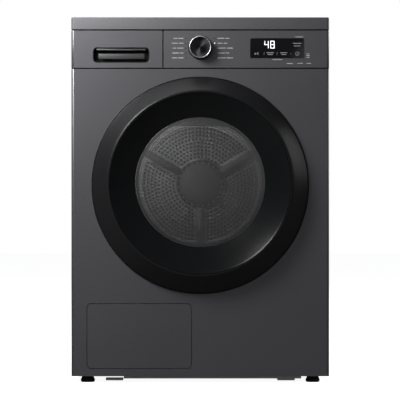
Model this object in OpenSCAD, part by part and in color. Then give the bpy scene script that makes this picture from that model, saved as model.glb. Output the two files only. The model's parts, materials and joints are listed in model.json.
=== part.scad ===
// Front-loading heat-pump clothes dryer, modelled as the pieces that it comes apart into.
// Millimetres. +Z up, the door faces -Y, origin on the floor at the middle of the footprint.

/* [Cabinet] */
// Width over the side panels
body_w = 600; // [560:5:700]
// Height from the floor to the top of the worktop
body_h = 850; // [820:5:1000]
// Depth from the crest of the door to the rear cover
body_d = 660; // [610:5:780]
// Thickness of the sheet steel
sheet = 1; // [0.8:0.1:1.6]
// Radius of the upright front edges
edge_r = 6; // [3:1:10]
// Gap between two neighbouring front pieces
seam = 2.5; // [1.5:0.5:4]
// Height of the front panel's lower edge above the floor
plinth_h = 15; // [12:1:18]
// Height of the worktop
worktop_h = 28.5; // [20:0.5:40]
// Thickness of the worktop's walls
worktop_t = 3; // [2:0.5:5]
// Height of the control panel
fascia_h = 86.5; // [80:0.5:100]
// Depth of the control panel's moulding
fascia_d = 18; // [14:1:24]
// Thickness of plastic mouldings
wall = 3; // [2:0.5:4]
// How far the front panel is set back behind the worktop
panel_inset = 2; // [0:0.5:4]
// Depth of the front panel's side returns
panel_return = 16; // [12:1:20]
// Depth of the rear cover
rear_cover_d = 12; // [8:1:30]

/* [Door] */
// How far the crest of the door stands in front of the worktop
door_proud = 38; // [25:1:45]
// Outer radius of the door
door_r = 251; // [235:1:256]
// Height of the door's centre
door_z = 459; // [450:1:480]
// Radius of the door's crest
crest_r = 214; // [200:1:220]
// How far the crest's centre is above the door's centre
crest_up = 4.7; // [0:0.1:8]
// Radius of the window
window_r = 150.4; // [130:0.2:152]
// How far the window's centre is above the door's centre
window_up = 7.3; // [0:0.1:10]
// Thickness of the door's shells
shell_t = 2.5; // [2:0.5:4]
// Gap around the door
door_gap = 2; // [1.5:0.5:4]
// Depth of the stamped recess behind the door
recess_d = 17; // [15:1:22]
// Thickness of the glass
glass_t = 4; // [3:0.5:6]
// How far the glass bowl reaches behind the front panel
bowl_d = 75; // [50:1:80]
// Radius of the loading opening
neck_r = 175; // [172:1:180]
// Distance of the hinge axis from the door's edge
hinge_in = 21; // [20:0.5:22]
// Radius of the hinge pins
hinge_pin_r = 2.5; // [2:0.25:3]

/* [Drum] */
// Outer radius of the drum
drum_r = 280; // [240:1:284]
// Height of the drum's axis
drum_z = 466; // [464:1:470]
// Thickness of the drum's sheet
drum_t = 1.2; // [1:0.1:3]
// Height of the lifters
lifter_h = 36; // [20:1:50]
// Radius of the drum's rear shaft
shaft_r = 12; // [8:1:16]
// Radius of the two support rollers
roller_r = 35; // [25:1:36]
// Width of a support roller
roller_w = 24; // [16:1:30]
// Radius of the roller axles
axle_r = 5; // [4:0.5:7]
// Width of the drive belt
belt_w = 9; // [6:1:14]
// Thickness of the drive belt
belt_t = 2.5; // [2:0.5:4]

/* [Controls] */
// Radius of the programme knob's foot
knob_r = 28; // [24:0.5:30]
// How far the knob stands out
knob_d = 21; // [15:1:26]
// Height of the knob's axis below the worktop
knob_down = 41.8; // [38:0.1:46]
// Radius of the knob's shaft
knob_shaft_r = 4; // [3:0.5:5]
// Width of the display glass
display_w = 125.5; // [100:0.5:140]
// Height of the display glass
display_h = 46.6; // [40:0.2:56]
// Distance of the display's centre from the middle
display_x = 178.9; // [170:0.1:200]
// Radius of an indicator light
light_r = 1.4; // [1:0.1:2]
// Pitch of the indicator lights
light_pitch = 11.4; // [8:0.2:14]

/* [Water tank] */
// Width of the tank drawer's front
drawer_w = 212; // [190:1:212]
// Length of the water tank
tank_l = 450; // [350:10:460]
// Width of the handle pocket
pocket_w = 128; // [100:1:140]
// Height of the handle pocket
pocket_h = 32; // [26:1:40]
// Radius of the tank's filler hole
filler_r = 22; // [16:1:26]

/* [Service flap] */
// Width of the service flap
flap_w = 242; // [220:1:250]
// Height of the service flap
flap_h = 150; // [140:1:155]
// Distance of the flap's centre from the middle
flap_x = -142; // [-144:1:-140]
// Height of the flap's lower edge
flap_z = 33.4; // [32:0.2:36]
// Corner radius of the flap
flap_r = 10; // [4:1:16]

/* [Base] */
// Distance of the feet from the middle
foot_x = 263; // [250:1:266]
// Radius of a foot's pad
foot_r = 17; // [14:0.5:19]
// Radius of a foot's threaded stem
stem_r = 5; // [4:0.5:6]
// Radius of the compressor
comp_r = 62; // [50:1:64]
// Radius of the motor
motor_r = 55; // [45:1:58]
// Radius of the motor's pulley
pulley_r = 10; // [8:0.5:14]
// Radius of the power cord's inlet
gland_r = 4; // [3:0.25:6]
// Radius of the drain spigot
spigot_r = 9; // [7:0.5:12]

/* [Hidden] */
$fn = 72;

// Clearances
run = 0.05;    // a shaft in its bore
touch = 0.3;   // two moving curved faces

// Planes of the cabinet
half_w = body_w / 2;
front_y = -body_d / 2 + door_proud;
crest_y = -body_d / 2;
panel_y = front_y + panel_inset;
back_y = body_d / 2 - rear_cover_d;
inner_x = half_w - sheet;
top_z = body_h - worktop_h;
fascia_z1 = top_z - seam;
fascia_z0 = fascia_z1 - fascia_h;
panel_z1 = fascia_z0 - seam;
fascia_back_y = front_y + fascia_d;
side_y0 = max(panel_y + panel_return, fascia_back_y) + 1;

// Door and its opening
floor_y = panel_y + recess_d;
recess_r = door_r + door_gap;
crest_z = door_z + crest_up;
window_z = door_z + window_up;
bowl_y = panel_y + bowl_d;
window_y = front_y - 9;
frame_y1 = floor_y - 7;
frame_y0 = frame_y1 - 3;
bowl_rim_r = window_r + 12;
frame_in_r = bowl_rim_r + 3;
hinge_x = door_r - hinge_in;
hinge_y = front_y - 8;
ear_h = 8;
ear_z = 40;
neck_back = 27.5;    // from the hinge axis to the inner side of a gooseneck's leg
arm_t = 5;
knuckle_r = hinge_pin_r + 1.5;
latch_x = neck_r + 30;
switch_r = 3;
switch_z = drum_z - 40;
filter_w = 170;
filter_d = 22;
filter_h = 96;
filter_y = floor_y + 22;
filter_z0 = drum_z - neck_r - filter_h;

// Drum
drum_y0 = bowl_y - 1;
drum_y1 = back_y - 82;
back_t = 1.5;
bulkhead_y = drum_y0 - 10;
roller_angle = 30;
roller_c = drum_r + roller_r + touch;
roller_x = roller_c * sin(roller_angle);
roller_z = drum_z - roller_c * cos(roller_angle);
roller_y = drum_y0 + 6;

// Base
base_z = plinth_h + 5;
base_t = 4;
rest_z = base_z + base_t;
base_y0 = side_y0 + 8;
base_y1 = back_y - 8;
foot_y0 = front_y + 34;
foot_y1 = back_y - 28;
channel_x0 = flap_x - flap_w / 2 - 6;
channel_x1 = flap_x + flap_w / 2 + 2;
channel_z1 = roller_z - roller_r - 6;
motor_x = half_w - sheet - 149;
motor_z = rest_z + motor_r + 14;
belt_y = front_y + 390;
comp_y = front_y + 232;
fan_r = motor_r + 3;
fan_y0 = drum_y1 + 2;
fan_y1 = back_y - 18;
idler_r = 18;
idler_axle_r = 4;
pipe_r = 4;
rail_x0 = -178;
rail_x1 = foot_x - 28;
gland_x = half_w - 50;
gland_z = 150;
spigot_z = 700;
screw_r = 2;
flap_gap = 1.2;
flap_pin_r = 2;
flap_t = 2;
flap_ear_r = flap_pin_r + 0.6;
flap_ear_t = 4;
flap_ear_up = 5;
flap_knuckle_r = 4;
flap_knuckle_w = 16;
flap_knuckle_x = 90;    // from the flap's middle to the middle of a knuckle
flap_axis_y = panel_y + 5;
flap_axis_z = flap_z + max(flap_r, 6) + 1;    // above the corners, so the flap swings through
cover_z0 = flap_axis_z + flap_ear_up + 0.6;
flap_rim_z = [cover_z0 + 0.5, flap_z + flap_h - 12];
lock_r = 12;
lock_stem_r = 4;

// Control panel
knob_z = top_z - knob_down;
split_x = -half_w + drawer_w;
display_z = fascia_z0 + 45.5;
display_corner = 3;
knob_clear = 0.4;    // between the knob and the panel
knob_skirt_t = 4;
knob_ring_in = 2.5;    // the bright ring sits this far inside the skirt
knob_ring_w = 3;
tank_x0 = -half_w + 12;
tank_x1 = split_x - 10;
tank_z0 = fascia_z0 + 17.5;
tank_z1 = fascia_z1 - 7;
pocket_x = -half_w + 116;
pocket_z = fascia_z0 + 29.5;
pocket_d = 28;
pocket_t = 2;
pocket_corner = 8.5;
tank_t = 2;
bay_t = 2;
bay_gap = 2.5;
bay_floor_gap = 0.5;
tank_y0 = front_y + 2 + pocket_d;
tank_y1 = tank_y0 + tank_l;
filler_y = tank_y1 - 60;
tank_x = (tank_x0 + tank_x1) / 2;

// Cover of the heat exchangers
lock_z = (cover_z0 + channel_z1) / 2;
function lock_x(s) = flap_x - 2 + s * (flap_w / 2 - 20);

// Heat pump
exchanger_x = [channel_x0 + wall + 2, channel_x1 - wall - 2];
exchanger_z = [rest_z + 8, channel_z1 - wall - 4];
evaporator_y = [comp_y - 165, comp_y - 75];
condenser_y = [comp_y - 45, comp_y + 100];
comp_x = half_w - 150;
comp_z0 = rest_z + 12;
comp_z1 = rest_z + 136;

// Drive: the belt's slack side gives the place of the idler and of its arm's pivot
motor_y0 = belt_y + 14;
motor_y1 = drum_y1 - 6;
belt_in = [drum_r + 0.5, pulley_r + touch];
drum_c = [0, drum_z];
motor_c = [motor_x, motor_z];
belt_dir = atan2(motor_z - drum_z, motor_x);
belt_wrap = acos((belt_in[0] - belt_in[1]) / norm(motor_c - drum_c));
slack_n = [cos(belt_dir - belt_wrap), sin(belt_dir - belt_wrap)];
slack_p = motor_c + (pulley_r + touch + belt_t) * slack_n;
slack_q = drum_c + (drum_r + 0.5 + belt_t) * slack_n;
idler_c = slack_p + 0.25 * (slack_q - slack_p) + (idler_r + touch) * slack_n;
arm_l = 40;
pivot_c = idler_c + arm_l * [-slack_n[1], slack_n[0]];
arm_y = [belt_y + belt_w / 2 + 2, belt_y + belt_w / 2 + 6];

// ---- helpers

// A block between two corners
module block(x, y, z) {
    translate([x[0], y[0], z[0]])
        cube([x[1] - x[0], y[1] - y[0], z[1] - z[0]]);
}

// A cylinder along Y, centred on x and z
module ycyl(r, y, x = 0, z = 0) {
    translate([x, y[0], z])
        rotate([-90, 0, 0])
            cylinder(r = r, h = y[1] - y[0]);
}

// A tube along Y
module ytube(r, y, x = 0, z = 0) {
    difference() {
        ycyl(r[1], y, x, z);
        ycyl(r[0], [y[0] - 1, y[1] + 1], x, z);
    }
}

// A flat outline in x and z, given depth along Y
module yplate(y) {
    translate([0, y[1], 0])
        rotate([90, 0, 0])
            linear_extrude(y[1] - y[0])
                children();
}

// A profile in [radius, y], turned about the Y axis through x and z
module yturn(x = 0, z = 0) {
    translate([x, 0, z])
        rotate([-90, 0, 0])
            rotate_extrude()
                children();
}

// A rectangle with round corners, centred
module round_rect(w, h, r) {
    square([w - 2 * r, h], center = true);
    square([w, h - 2 * r], center = true);
    for (sx = [-1, 1], sz = [-1, 1])
        translate([sx * (w / 2 - r), sz * (h / 2 - r)])
            circle(r);
}

// Plan of a front moulding, with one or both outer edges rounded
module front_plan(x0, x1, y0, y1, r, left = true, right = true) {
    square_x0 = left ? x0 + r : x0;
    square_x1 = right ? x1 - r : x1;
    translate([square_x0, y0])
        square([square_x1 - square_x0, y1 - y0]);
    translate([x0, y0 + r])
        square([x1 - x0, y1 - y0 - r]);
    if (left)
        translate([x0 + r, y0 + r])
            circle(r);
    if (right)
        translate([x1 - r, y0 + r])
            circle(r);
}

// Points of an arc
function on_circle(c, r, a) = c + r * [cos(a), sin(a)];
function arc(c, r, a0, a1, n) = [for (i = [0 : n]) on_circle(c, r, a0 + (a1 - a0) * i / n)];

// Closed outline around two circles, as a belt lies
module wrap(c1, r1, c2, r2, n1 = 90, n2 = 16) {
    d = c2 - c1;
    dir = atan2(d[1], d[0]);
    a = acos((r1 - r2) / norm(d));
    polygon(concat(arc(c1, r1, dir + a, dir + 360 - a, n1), arc(c2, r2, dir - a, dir + a, n2)));
}

// A pipe through a list of points, round at its bends
module pipe(points, r) {
    $fn = 24;
    for (i = [0 : len(points) - 2]) {
        d = points[i + 1] - points[i];
        translate(points[i])
            rotate([0, acos(d[2] / norm(d)), atan2(d[1], d[0])])
                cylinder(r = r, h = norm(d));
    }
    for (i = [1 : 1 : len(points) - 2])
        translate(points[i])
            sphere(r + 0.4);
}

// ---- cabinet

module worktop() color("dimgray") {
    difference() {
        translate([0, 0, top_z])
            linear_extrude(worktop_h - 1.5)
                front_plan(-half_w, half_w, front_y, back_y, edge_r);
        block([-half_w + worktop_t, half_w - worktop_t], [front_y + worktop_t, back_y - worktop_t],
              [top_z - 1, body_h - worktop_t]);
    }
    translate([0, 0, body_h - 1.5])
        linear_extrude(1.5)
            front_plan(-half_w + 1, half_w - 1, front_y + 1, back_y - 1, edge_r - 1);
}

module side_panel() {
    block([inner_x, half_w], [side_y0, back_y], [plinth_h, top_z]);
    block([inner_x - 5, inner_x], [side_y0, side_y0 + sheet], [plinth_h, top_z]);
    block([inner_x - 6, inner_x], [side_y0 + sheet, back_y - 20], [top_z - sheet, top_z]);
    difference() {
        block([inner_x - 12, inner_x], [back_y - 2 * sheet, back_y - sheet], [plinth_h, top_z]);
        rear_screws(screw_r, [back_y - 3 * sheet, back_y]);
    }
}

module side_panel_right() color("dimgray") side_panel();

module side_panel_left() color("dimgray") mirror([1, 0, 0]) side_panel();

module front_panel() color("dimgray") difference() {
    union() {
        difference() {
            translate([0, 0, plinth_h])
                linear_extrude(panel_z1 - plinth_h)
                    front_plan(-half_w, half_w, panel_y, panel_y + panel_return, edge_r);
            translate([0, 0, plinth_h + sheet])
                linear_extrude(panel_z1 - plinth_h - 2 * sheet)
                    front_plan(-inner_x, inner_x, panel_y + sheet, panel_y + panel_return + 1,
                               edge_r - sheet);
        }
        ycyl(recess_r + sheet, [panel_y + sheet, floor_y + sheet], 0, door_z);
    }
    ycyl(recess_r, [panel_y - 1, floor_y], 0, door_z);
    ycyl(neck_r + 3, [floor_y - 1, floor_y + sheet + 1], 0, drum_z);
    // Slot for the latch hook and hole for the door switch
    block([-latch_x - 12, -latch_x + 12], [floor_y - 1, floor_y + sheet + 1],
          [drum_z - 14, drum_z + 14]);
    ycyl(switch_r + run * 2, [floor_y - 1, floor_y + sheet + 1], -latch_x, switch_z);
    // Window of the service flap
    yplate([panel_y - 1, panel_y + sheet + 1])
        translate([flap_x, flap_z + flap_h / 2])
            round_rect(flap_w + 2 * flap_gap, flap_h + 2 * flap_gap, flap_r + flap_gap);
}

module rear_panel() color("silver") difference() {
    union() {
        block([-inner_x, inner_x], [back_y - sheet, back_y], [plinth_h, top_z]);
        // Bearing seat for the drum's shaft
        ycyl(shaft_r + 14, [drum_y1 + 20, back_y - sheet], 0, drum_z);
        ycyl(shaft_r + 40, [back_y - sheet - 8, back_y - sheet], 0, drum_z);
    }
    ycyl(shaft_r + run, [drum_y1 + 10, back_y + 1], 0, drum_z);
    ycyl(gland_r + 8, [back_y - 5, back_y + 1], -gland_x, gland_z);
    ycyl(spigot_r + 5, [back_y - 5, back_y + 1], -gland_x, spigot_z);
    ycyl(fan_r - 12, [back_y - 5, back_y + 1], motor_x, motor_z);
    for (a = [0 : 30 : 330])
        ycyl(24, [back_y - 5, back_y + 1], 120 * sin(a), drum_z + 120 * cos(a));
    rear_screws(screw_r, [back_y - 5, back_y + 1]);
}

// The screws that hold the rear panel, a column at each side
module rear_screws(r, y) {
    for (s = [-1, 1], i = [0 : 4])
        ycyl(r, y, s * (inner_x - 6), plinth_h + 45 + i * (body_h - 130) / 4);
}

module cabinet_screws() color("silver") {
    rear_screws(screw_r, [back_y - 6, back_y]);
    rear_screws(2.2 * screw_r, [back_y, back_y + 2.4]);
}

// Air duct on the back: from the fan up to the ring of holes behind the drum
module cover_outline(r, w) {
    translate([0, drum_z])
        circle(r);
    translate([motor_x, motor_z])
        circle(w);
    polygon([[-r * 0.7, drum_z - r * 0.7], [r * 0.9, drum_z - r * 0.4],
             [motor_x + w, motor_z], [motor_x - w, motor_z]]);
}

module rear_cover() color("silver") difference() {
    union() {
        yplate([back_y, back_y + 1.5])
            cover_outline(190, fan_r + 10);
        yplate([back_y, back_y + rear_cover_d])
            cover_outline(178, fan_r - 2);
    }
    yplate([back_y - 1, back_y + rear_cover_d - 1.5])
        cover_outline(176.5, fan_r - 3.5);
}

module base_tray() color("darkslategray") difference() {
    union() {
        block([-inner_x + 1, inner_x - 1], [base_y0, base_y1], [base_z, rest_z]);
        // Outer rim
        for (s = [-1, 1])
            block([s * (inner_x - 2.5) - 1.5, s * (inner_x - 2.5) + 1.5], [base_y0, base_y1],
                  [rest_z, rest_z + 40]);
        block([-inner_x + 1, inner_x - 1], [base_y1 - 3, base_y1], [rest_z, rest_z + 8]);
        // Walls of the air channel
        for (x = [channel_x0, channel_x1 - wall])
            block([x, x + wall], [base_y0, base_y1 - 60], [rest_z, channel_z1 - wall]);
        block([channel_x0, channel_x1], [base_y1 - 60, base_y1 - 60 + wall],
              [rest_z, channel_z1 - wall]);
        block([channel_x0, channel_x1], [base_y0, base_y0 + wall], [rest_z, cover_z0]);
        for (x = [-foot_x, foot_x], y = [foot_y0, foot_y1])
            translate([x, y, base_z])
                cylinder(r = stem_r + 6, h = cover_z0 - base_z - 2);
        // Ears and pins that the service flap turns on
        for (s = [-1, 1]) {
            x = flap_x + s * flap_knuckle_x + flap_knuckle_w / 2 + 1;
            ear_x = [x, x + flap_ear_t];
            block(ear_x, [flap_axis_y, base_y0 + wall],
                  [flap_axis_z - flap_ear_r, flap_axis_z + flap_ear_up]);
            translate([x, flap_axis_y, flap_axis_z])
                rotate([0, 90, 0])
                    cylinder(r = flap_ear_r, h = flap_ear_t);
            block(ear_x, [base_y0 - wall, base_y0 + wall], [base_z, flap_axis_z + flap_ear_up]);
            translate([x - flap_knuckle_w - 1, flap_axis_y, flap_axis_z])
                rotate([0, 90, 0])
                    cylinder(r = flap_pin_r, h = flap_knuckle_w + 2);
        }
    }
    for (p = [[-20, 110], [-180, 70], [-20, 60], [-180, 58]])
        translate([channel_x1 - wall - 1, comp_y + 60 + p[0], p[1]])
            rotate([0, 90, 0])
                cylinder(r = pipe_r + 0.5, h = wall + 2);
    for (x = [-foot_x, foot_x], y = [foot_y0, foot_y1])
        translate([x, y, base_z - 1])
            cylinder(r = stem_r + run, h = 40);
}

module front_rail() color("gray") {
    rail_y = panel_y + 4;
    block([rail_x0, rail_x1], [rail_y, base_y0 + 12], [plinth_h - 5.5, plinth_h - 4]);
    block([rail_x0, rail_x1], [rail_y, rail_y + 1.5], [plinth_h - 4, plinth_h - 0.3]);
    block([rail_x0, rail_x1], [base_y0 + 10.5, base_y0 + 12], [plinth_h - 4, base_z]);
    for (s = [-1, 1])
        block([s * 200 - 20, s * 200 + 20], [rail_y + 3, base_y0 + 12],
              [plinth_h - 10, plinth_h - 5.5]);
}

// ---- control panel

module control_fascia() color("dimgray") difference() {
    x0 = split_x + seam;
    translate([0, 0, fascia_z0])
        linear_extrude(fascia_h)
            front_plan(x0, half_w, front_y, fascia_back_y, edge_r, left = false);
    block([x0 + wall, half_w - wall], [front_y + wall, fascia_back_y + 1],
          [fascia_z0 + wall, fascia_z1 - wall]);
    ycyl(knob_shaft_r + run, [front_y - 1, front_y + wall + 1], 0, knob_z);
    yplate([front_y - 1, front_y + wall + 1])
        translate([display_x, display_z])
            round_rect(display_w, display_h, display_corner);
    indicator_row(light_r + 0.1, [front_y - 1, front_y + wall + 1]);
}

// Two columns of five lights beside the knob
module indicator_row(r, y) {
    for (s = [-1, 1], i = [-2 : 2])
        ycyl(r, y, s * (knob_r + 5.5), knob_z - 1.5 + i * light_pitch);
}

module indicator_lights() color("white") indicator_row(light_r, [front_y - 0.3, front_y + 8]);

module display_glass() color("black") yplate([front_y - 0.4, front_y + 2])
    translate([display_x, display_z])
        round_rect(display_w, display_h, display_corner);

module control_board() color("darkgreen") difference() {
    board_y = fascia_back_y + 4;
    union() {
        block([split_x + 22, half_w - 40], [board_y, board_y + 1.6],
              [fascia_z0 + 10, fascia_z1 - 10]);
        // Encoder, display module and the tall components of the power stage
        block([-8, 8], [board_y - 8, board_y], [knob_z - 8, knob_z + 8]);
        block([display_x - 50, display_x + 50], [front_y + 4, board_y],
              [display_z - 18, display_z + 18]);
        for (x = [30, 54, 78])
            ycyl(9, [board_y + 1.6, board_y + 26], x, knob_z - 10);
    }
    ycyl(knob_shaft_r + run, [board_y - 9, board_y + 3], 0, knob_z);
}

module knob() color("silver") {
    y0 = front_y - knob_d;
    skirt_y = front_y - knob_skirt_t;
    ring_r = knob_r - knob_ring_in;
    face_r = ring_r - knob_ring_w;
    ycyl(knob_r, [skirt_y, front_y - knob_clear], 0, knob_z);
    ytube([face_r, ring_r], [y0, skirt_y], 0, knob_z);
    ycyl(face_r, [y0 + 2, skirt_y], 0, knob_z);
    ycyl(knob_shaft_r, [front_y - knob_clear, fascia_back_y + 4], 0, knob_z);
}

// ---- water tank and its drawer front

module pocket_outline(extra = 0) {
    translate([pocket_x, pocket_z])
        round_rect(pocket_w + 2 * extra, pocket_h + 2 * extra, pocket_corner + extra);
}

module tank_front() color("dimgray") {
    difference() {
        translate([0, 0, fascia_z0])
            linear_extrude(fascia_h)
                front_plan(-half_w, split_x, front_y, fascia_back_y, edge_r, right = false);
        block([-half_w + wall, split_x - wall], [front_y + wall, fascia_back_y + 1],
              [fascia_z0 + wall, fascia_z1 - wall]);
        yplate([front_y - 1, front_y + wall + 1])
            pocket_outline(pocket_t);
    }
    // Cheeks that clip to the tank's sides
    for (x = [[tank_x0 - 2, tank_x0], [tank_x1, tank_x1 + 2]])
        block(x, [front_y + wall, tank_y0 + 30], [tank_z0 + 4, tank_z1 - 10]);
}

module handle_pocket() color("black") {
    difference() {
        yplate([front_y + 0.5, tank_y0])
            pocket_outline(pocket_t);
        yplate([front_y - 1, tank_y0 - pocket_t])
            pocket_outline();
    }
    // Grip plate and the lip above it
    grip_h = 12.6;
    lip_h = 3.4;
    yplate([tank_y0 - pocket_t - 6, tank_y0 - pocket_t])
        translate([pocket_x, pocket_z - 2.5])
            square([pocket_w - 21, grip_h], center = true);
    yplate([front_y + 2, front_y + 12])
        translate([pocket_x, pocket_z + (pocket_h - lip_h) / 2])
            square([pocket_w - 14, lip_h], center = true);
}

module water_tank() color("lightsteelblue") difference() {
    collar_h = 3;
    union() {
        block([tank_x0, tank_x1], [tank_y0, tank_y1], [tank_z0, tank_z1]);
        translate([tank_x, filler_y, tank_z1])
            cylinder(r = filler_r + 3, h = collar_h);
    }
    block([tank_x0 + tank_t, tank_x1 - tank_t], [tank_y0 + tank_t, tank_y1 - tank_t],
          [tank_z0 + tank_t, tank_z1 - tank_t]);
    translate([tank_x, filler_y, tank_z1 - tank_t - 1])
        cylinder(r = filler_r, h = tank_t + collar_h + 5);
}

// Two cheeks, a floor and a back that the tank slides in
module tank_bay() color("gray") {
    x0 = tank_x0 - bay_gap;
    x1 = tank_x1 + bay_gap;
    y0 = tank_y0 + 3;
    y1 = tank_y1 + 12;
    floor_z = tank_z0 - bay_floor_gap;
    block([x0 - bay_t, x1 + bay_t], [y0, y1], [floor_z - 2.5, floor_z]);
    for (x = [x0 - bay_t, x1])
        block([x, x + bay_t], [y0, y1], [floor_z, tank_z1]);
    block([x0, x1], [y1 - bay_t, y1], [floor_z, tank_z1]);
}

// ---- door

// A round stretch at y0 that runs on as a cone to a smaller circle at y1, at another height
module slanted(r0, z0, y0, r1, z1, y1) {
    hull() {
        ycyl(r0, y0, 0, z0, $fn = 96);
        ycyl(r1, y1, 0, z1, $fn = 96);
    }
}

module door_bezel() color("dimgray") difference() {
    rim_y = front_y - 4;
    skirt_y = frame_y0 - 4;
    slanted(door_r, door_z, [rim_y, skirt_y], crest_r, crest_z, [crest_y, crest_y + 0.5]);
    slanted(door_r - shell_t, door_z, [rim_y, skirt_y + 1],
            crest_r - shell_t - 1, crest_z, [crest_y - 1, crest_y - 0.5]);
}

module door_dish() color("black") difference() {
    r = crest_r - shell_t - 1.2;
    slanted(window_r + shell_t, window_z, [window_y - 0.5, window_y], r, crest_z,
            [crest_y + 0.6, crest_y + 1.1]);
    slanted(window_r, window_z, [window_y - 0.5, window_y + 1], r - shell_t, crest_z,
            [crest_y - 0.4, crest_y + 0.1]);
}

module door_glass() color("black")
    ycyl(window_r - 0.1, [window_y - glass_t + 2, window_y + 2], 0, window_z);

module door_bowl() color("lightgray") {
    neck_out_r = window_r + 7;
    base_r = window_r - 4;
    out_k = 20;    // rounding between wall and bottom, outside and inside
    in_k = out_k - glass_t;
    bend_r = base_r - out_k;
    bend_y = bowl_y - out_k;
    y0 = panel_y - 4;
    outer = concat([[0, bowl_y], [bend_r, bowl_y]],
                   [for (a = [75 : -15 : 0]) [bend_r + out_k * cos(a), bend_y + out_k * sin(a)]],
                   [[neck_out_r, y0 + glass_t], [bowl_rim_r, y0 + glass_t], [bowl_rim_r, y0],
                    [neck_out_r - glass_t, y0]]);
    inner = concat([for (a = [0 : 15 : 75]) [bend_r + in_k * cos(a), bend_y + in_k * sin(a)]],
                   [[bend_r, bowl_y - glass_t], [0, bowl_y - glass_t]]);
    yturn(0, drum_z)
        polygon(concat(outer, inner));
}

module door_frame() color("dimgray") difference() {
    union() {
        difference() {
            ycyl(door_r - shell_t - 1.5, [frame_y0 - 11, frame_y1], 0, door_z);
            ycyl(door_r - shell_t - 4.5, [frame_y0 - 12, frame_y0], 0, door_z);
        }
        ycyl(frame_in_r + 3, [panel_y - 6, frame_y1], 0, drum_z);
    }
    ycyl(frame_in_r, [frame_y0 - 30, frame_y1 + 1], 0, drum_z);
    // Room for the fixed goosenecks to swing through
    block([hinge_x - neck_back - 2, door_r + 5], [panel_y - 20, frame_y1 + 1],
          [drum_z - ear_z - 18, drum_z + ear_z + 18]);
}

// A plate on the panel with two goosenecks that reach forward and then out to the hinge axis
module hinge_bracket() color("silver") {
    x0 = hinge_x - neck_back;
    plate_w = 14;
    foot_y = floor_y - 1.5;
    block([x0, x0 + plate_w], [foot_y, floor_y], [drum_z - ear_z - 16, drum_z + ear_z + 16]);
    for (s = [-1, 1]) {
        z = [drum_z + s * ear_z - ear_h / 2, drum_z + s * ear_z + ear_h / 2];
        block([x0, x0 + arm_t], [hinge_y - arm_t / 2, foot_y], z);
        block([x0, hinge_x], [hinge_y - arm_t / 2, hinge_y + arm_t / 2], z);
        translate([hinge_x, hinge_y, z[0]])
            cylinder(r = knuckle_r, h = ear_h);
        // Pin, fixed in the gooseneck and standing out on its far side
        translate([hinge_x, hinge_y, s > 0 ? z[0] : z[0] - ear_h - 1])
            cylinder(r = hinge_pin_r, h = 2 * ear_h + 1);
    }
}

// The door's half of the hinge: two knuckles on a plate that is screwed to the door's frame
module hinge_arm() color("silver") difference() {
    knuckle_h = 7;
    x0 = hinge_x - neck_back - 13.5;
    x1 = hinge_x - neck_back - 2.5;
    h = ear_z + ear_h + 5;
    union() {
        block([x0, x1], [frame_y0 - 3, frame_y0], [drum_z - h, drum_z + h]);
        for (s = [-1, 1]) {
            mid = drum_z + s * (ear_z + (ear_h + knuckle_h) / 2 + 0.5);
            z = [mid - knuckle_h / 2, mid + knuckle_h / 2];
            block([x0, x1], [hinge_y - arm_t / 2, frame_y0 - 2], z);
            block([x0, hinge_x], [hinge_y - arm_t / 2, hinge_y + arm_t / 2], z);
            translate([hinge_x, hinge_y, z[0]])
                cylinder(r = knuckle_r, h = knuckle_h);
        }
    }
    for (s = [-1, 1])
        translate([hinge_x, hinge_y, drum_z + s * (ear_z + ear_h) - 12])
            cylinder(r = hinge_pin_r + run, h = 24);
}

module latch_hook() color("white") {
    block([-latch_x - 7, -latch_x + 7], [frame_y1, frame_y1 + 24], [drum_z - 9, drum_z + 9]);
    block([-latch_x - 7, -latch_x - 4], [frame_y1 + 18, frame_y1 + 24], [drum_z - 9, drum_z + 9]);
}

module latch_receiver() color("white") difference() {
    block([-latch_x - 18, -latch_x + 18], [floor_y + sheet, floor_y + 32], [drum_z - 24, drum_z + 24]);
    block([-latch_x - 12, -latch_x + 12], [floor_y, floor_y + 28], [drum_z - 14, drum_z + 14]);
}

module door_switch() color("white") {
    ycyl(switch_r, [frame_y1 + touch, floor_y + 12], -latch_x, switch_z);
    ycyl(switch_r + 3, [floor_y + sheet + 0.2, floor_y + 5], -latch_x, switch_z);
}

module door_seal() color("black") difference() {
    ycyl(neck_r + 16, [frame_y1 + touch, floor_y], 0, drum_z);
    ycyl(neck_r + 9, [frame_y1 - 1, floor_y + 1], 0, drum_z);
    ytube([neck_r + 11, neck_r + 14], [frame_y1 - 1, frame_y1 + 3], 0, drum_z);
}

// ---- front bulkhead, filter and air path

module front_bulkhead() color("gainsboro") difference() {
    union() {
        ycyl(neck_r + 2, [floor_y + sheet, bulkhead_y + 2], 0, drum_z);
        ycyl(drum_r + 3, [bulkhead_y, bulkhead_y + 2], 0, drum_z);
        block([-roller_x - 45, roller_x + 45], [bulkhead_y, bulkhead_y + 2],
              [roller_z - 22, roller_z + 120]);
        for (s = [-1, 1])
            ycyl(axle_r, [bulkhead_y, roller_y + roller_w + 3], s * roller_x, roller_z);
    }
    ycyl(neck_r, [floor_y, bulkhead_y + 3], 0, drum_z);
    block([-filter_w / 2 - 2, filter_w / 2 + 2],
          [filter_y - filter_d / 2 - 1, filter_y + filter_d / 2 + 1],
          [drum_z - neck_r - 10, drum_z]);
}

module filter_body(w, d, z0) intersection() {
    block([-w / 2, w / 2], [filter_y - d / 2, filter_y + d / 2], [z0, drum_z]);
    difference() {
        block([-w, w], [filter_y - d, filter_y + d], [z0, drum_z - neck_r / 2]);
        ycyl(neck_r, [filter_y - d - 1, filter_y + d + 1], 0, drum_z);
    }
}

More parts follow.
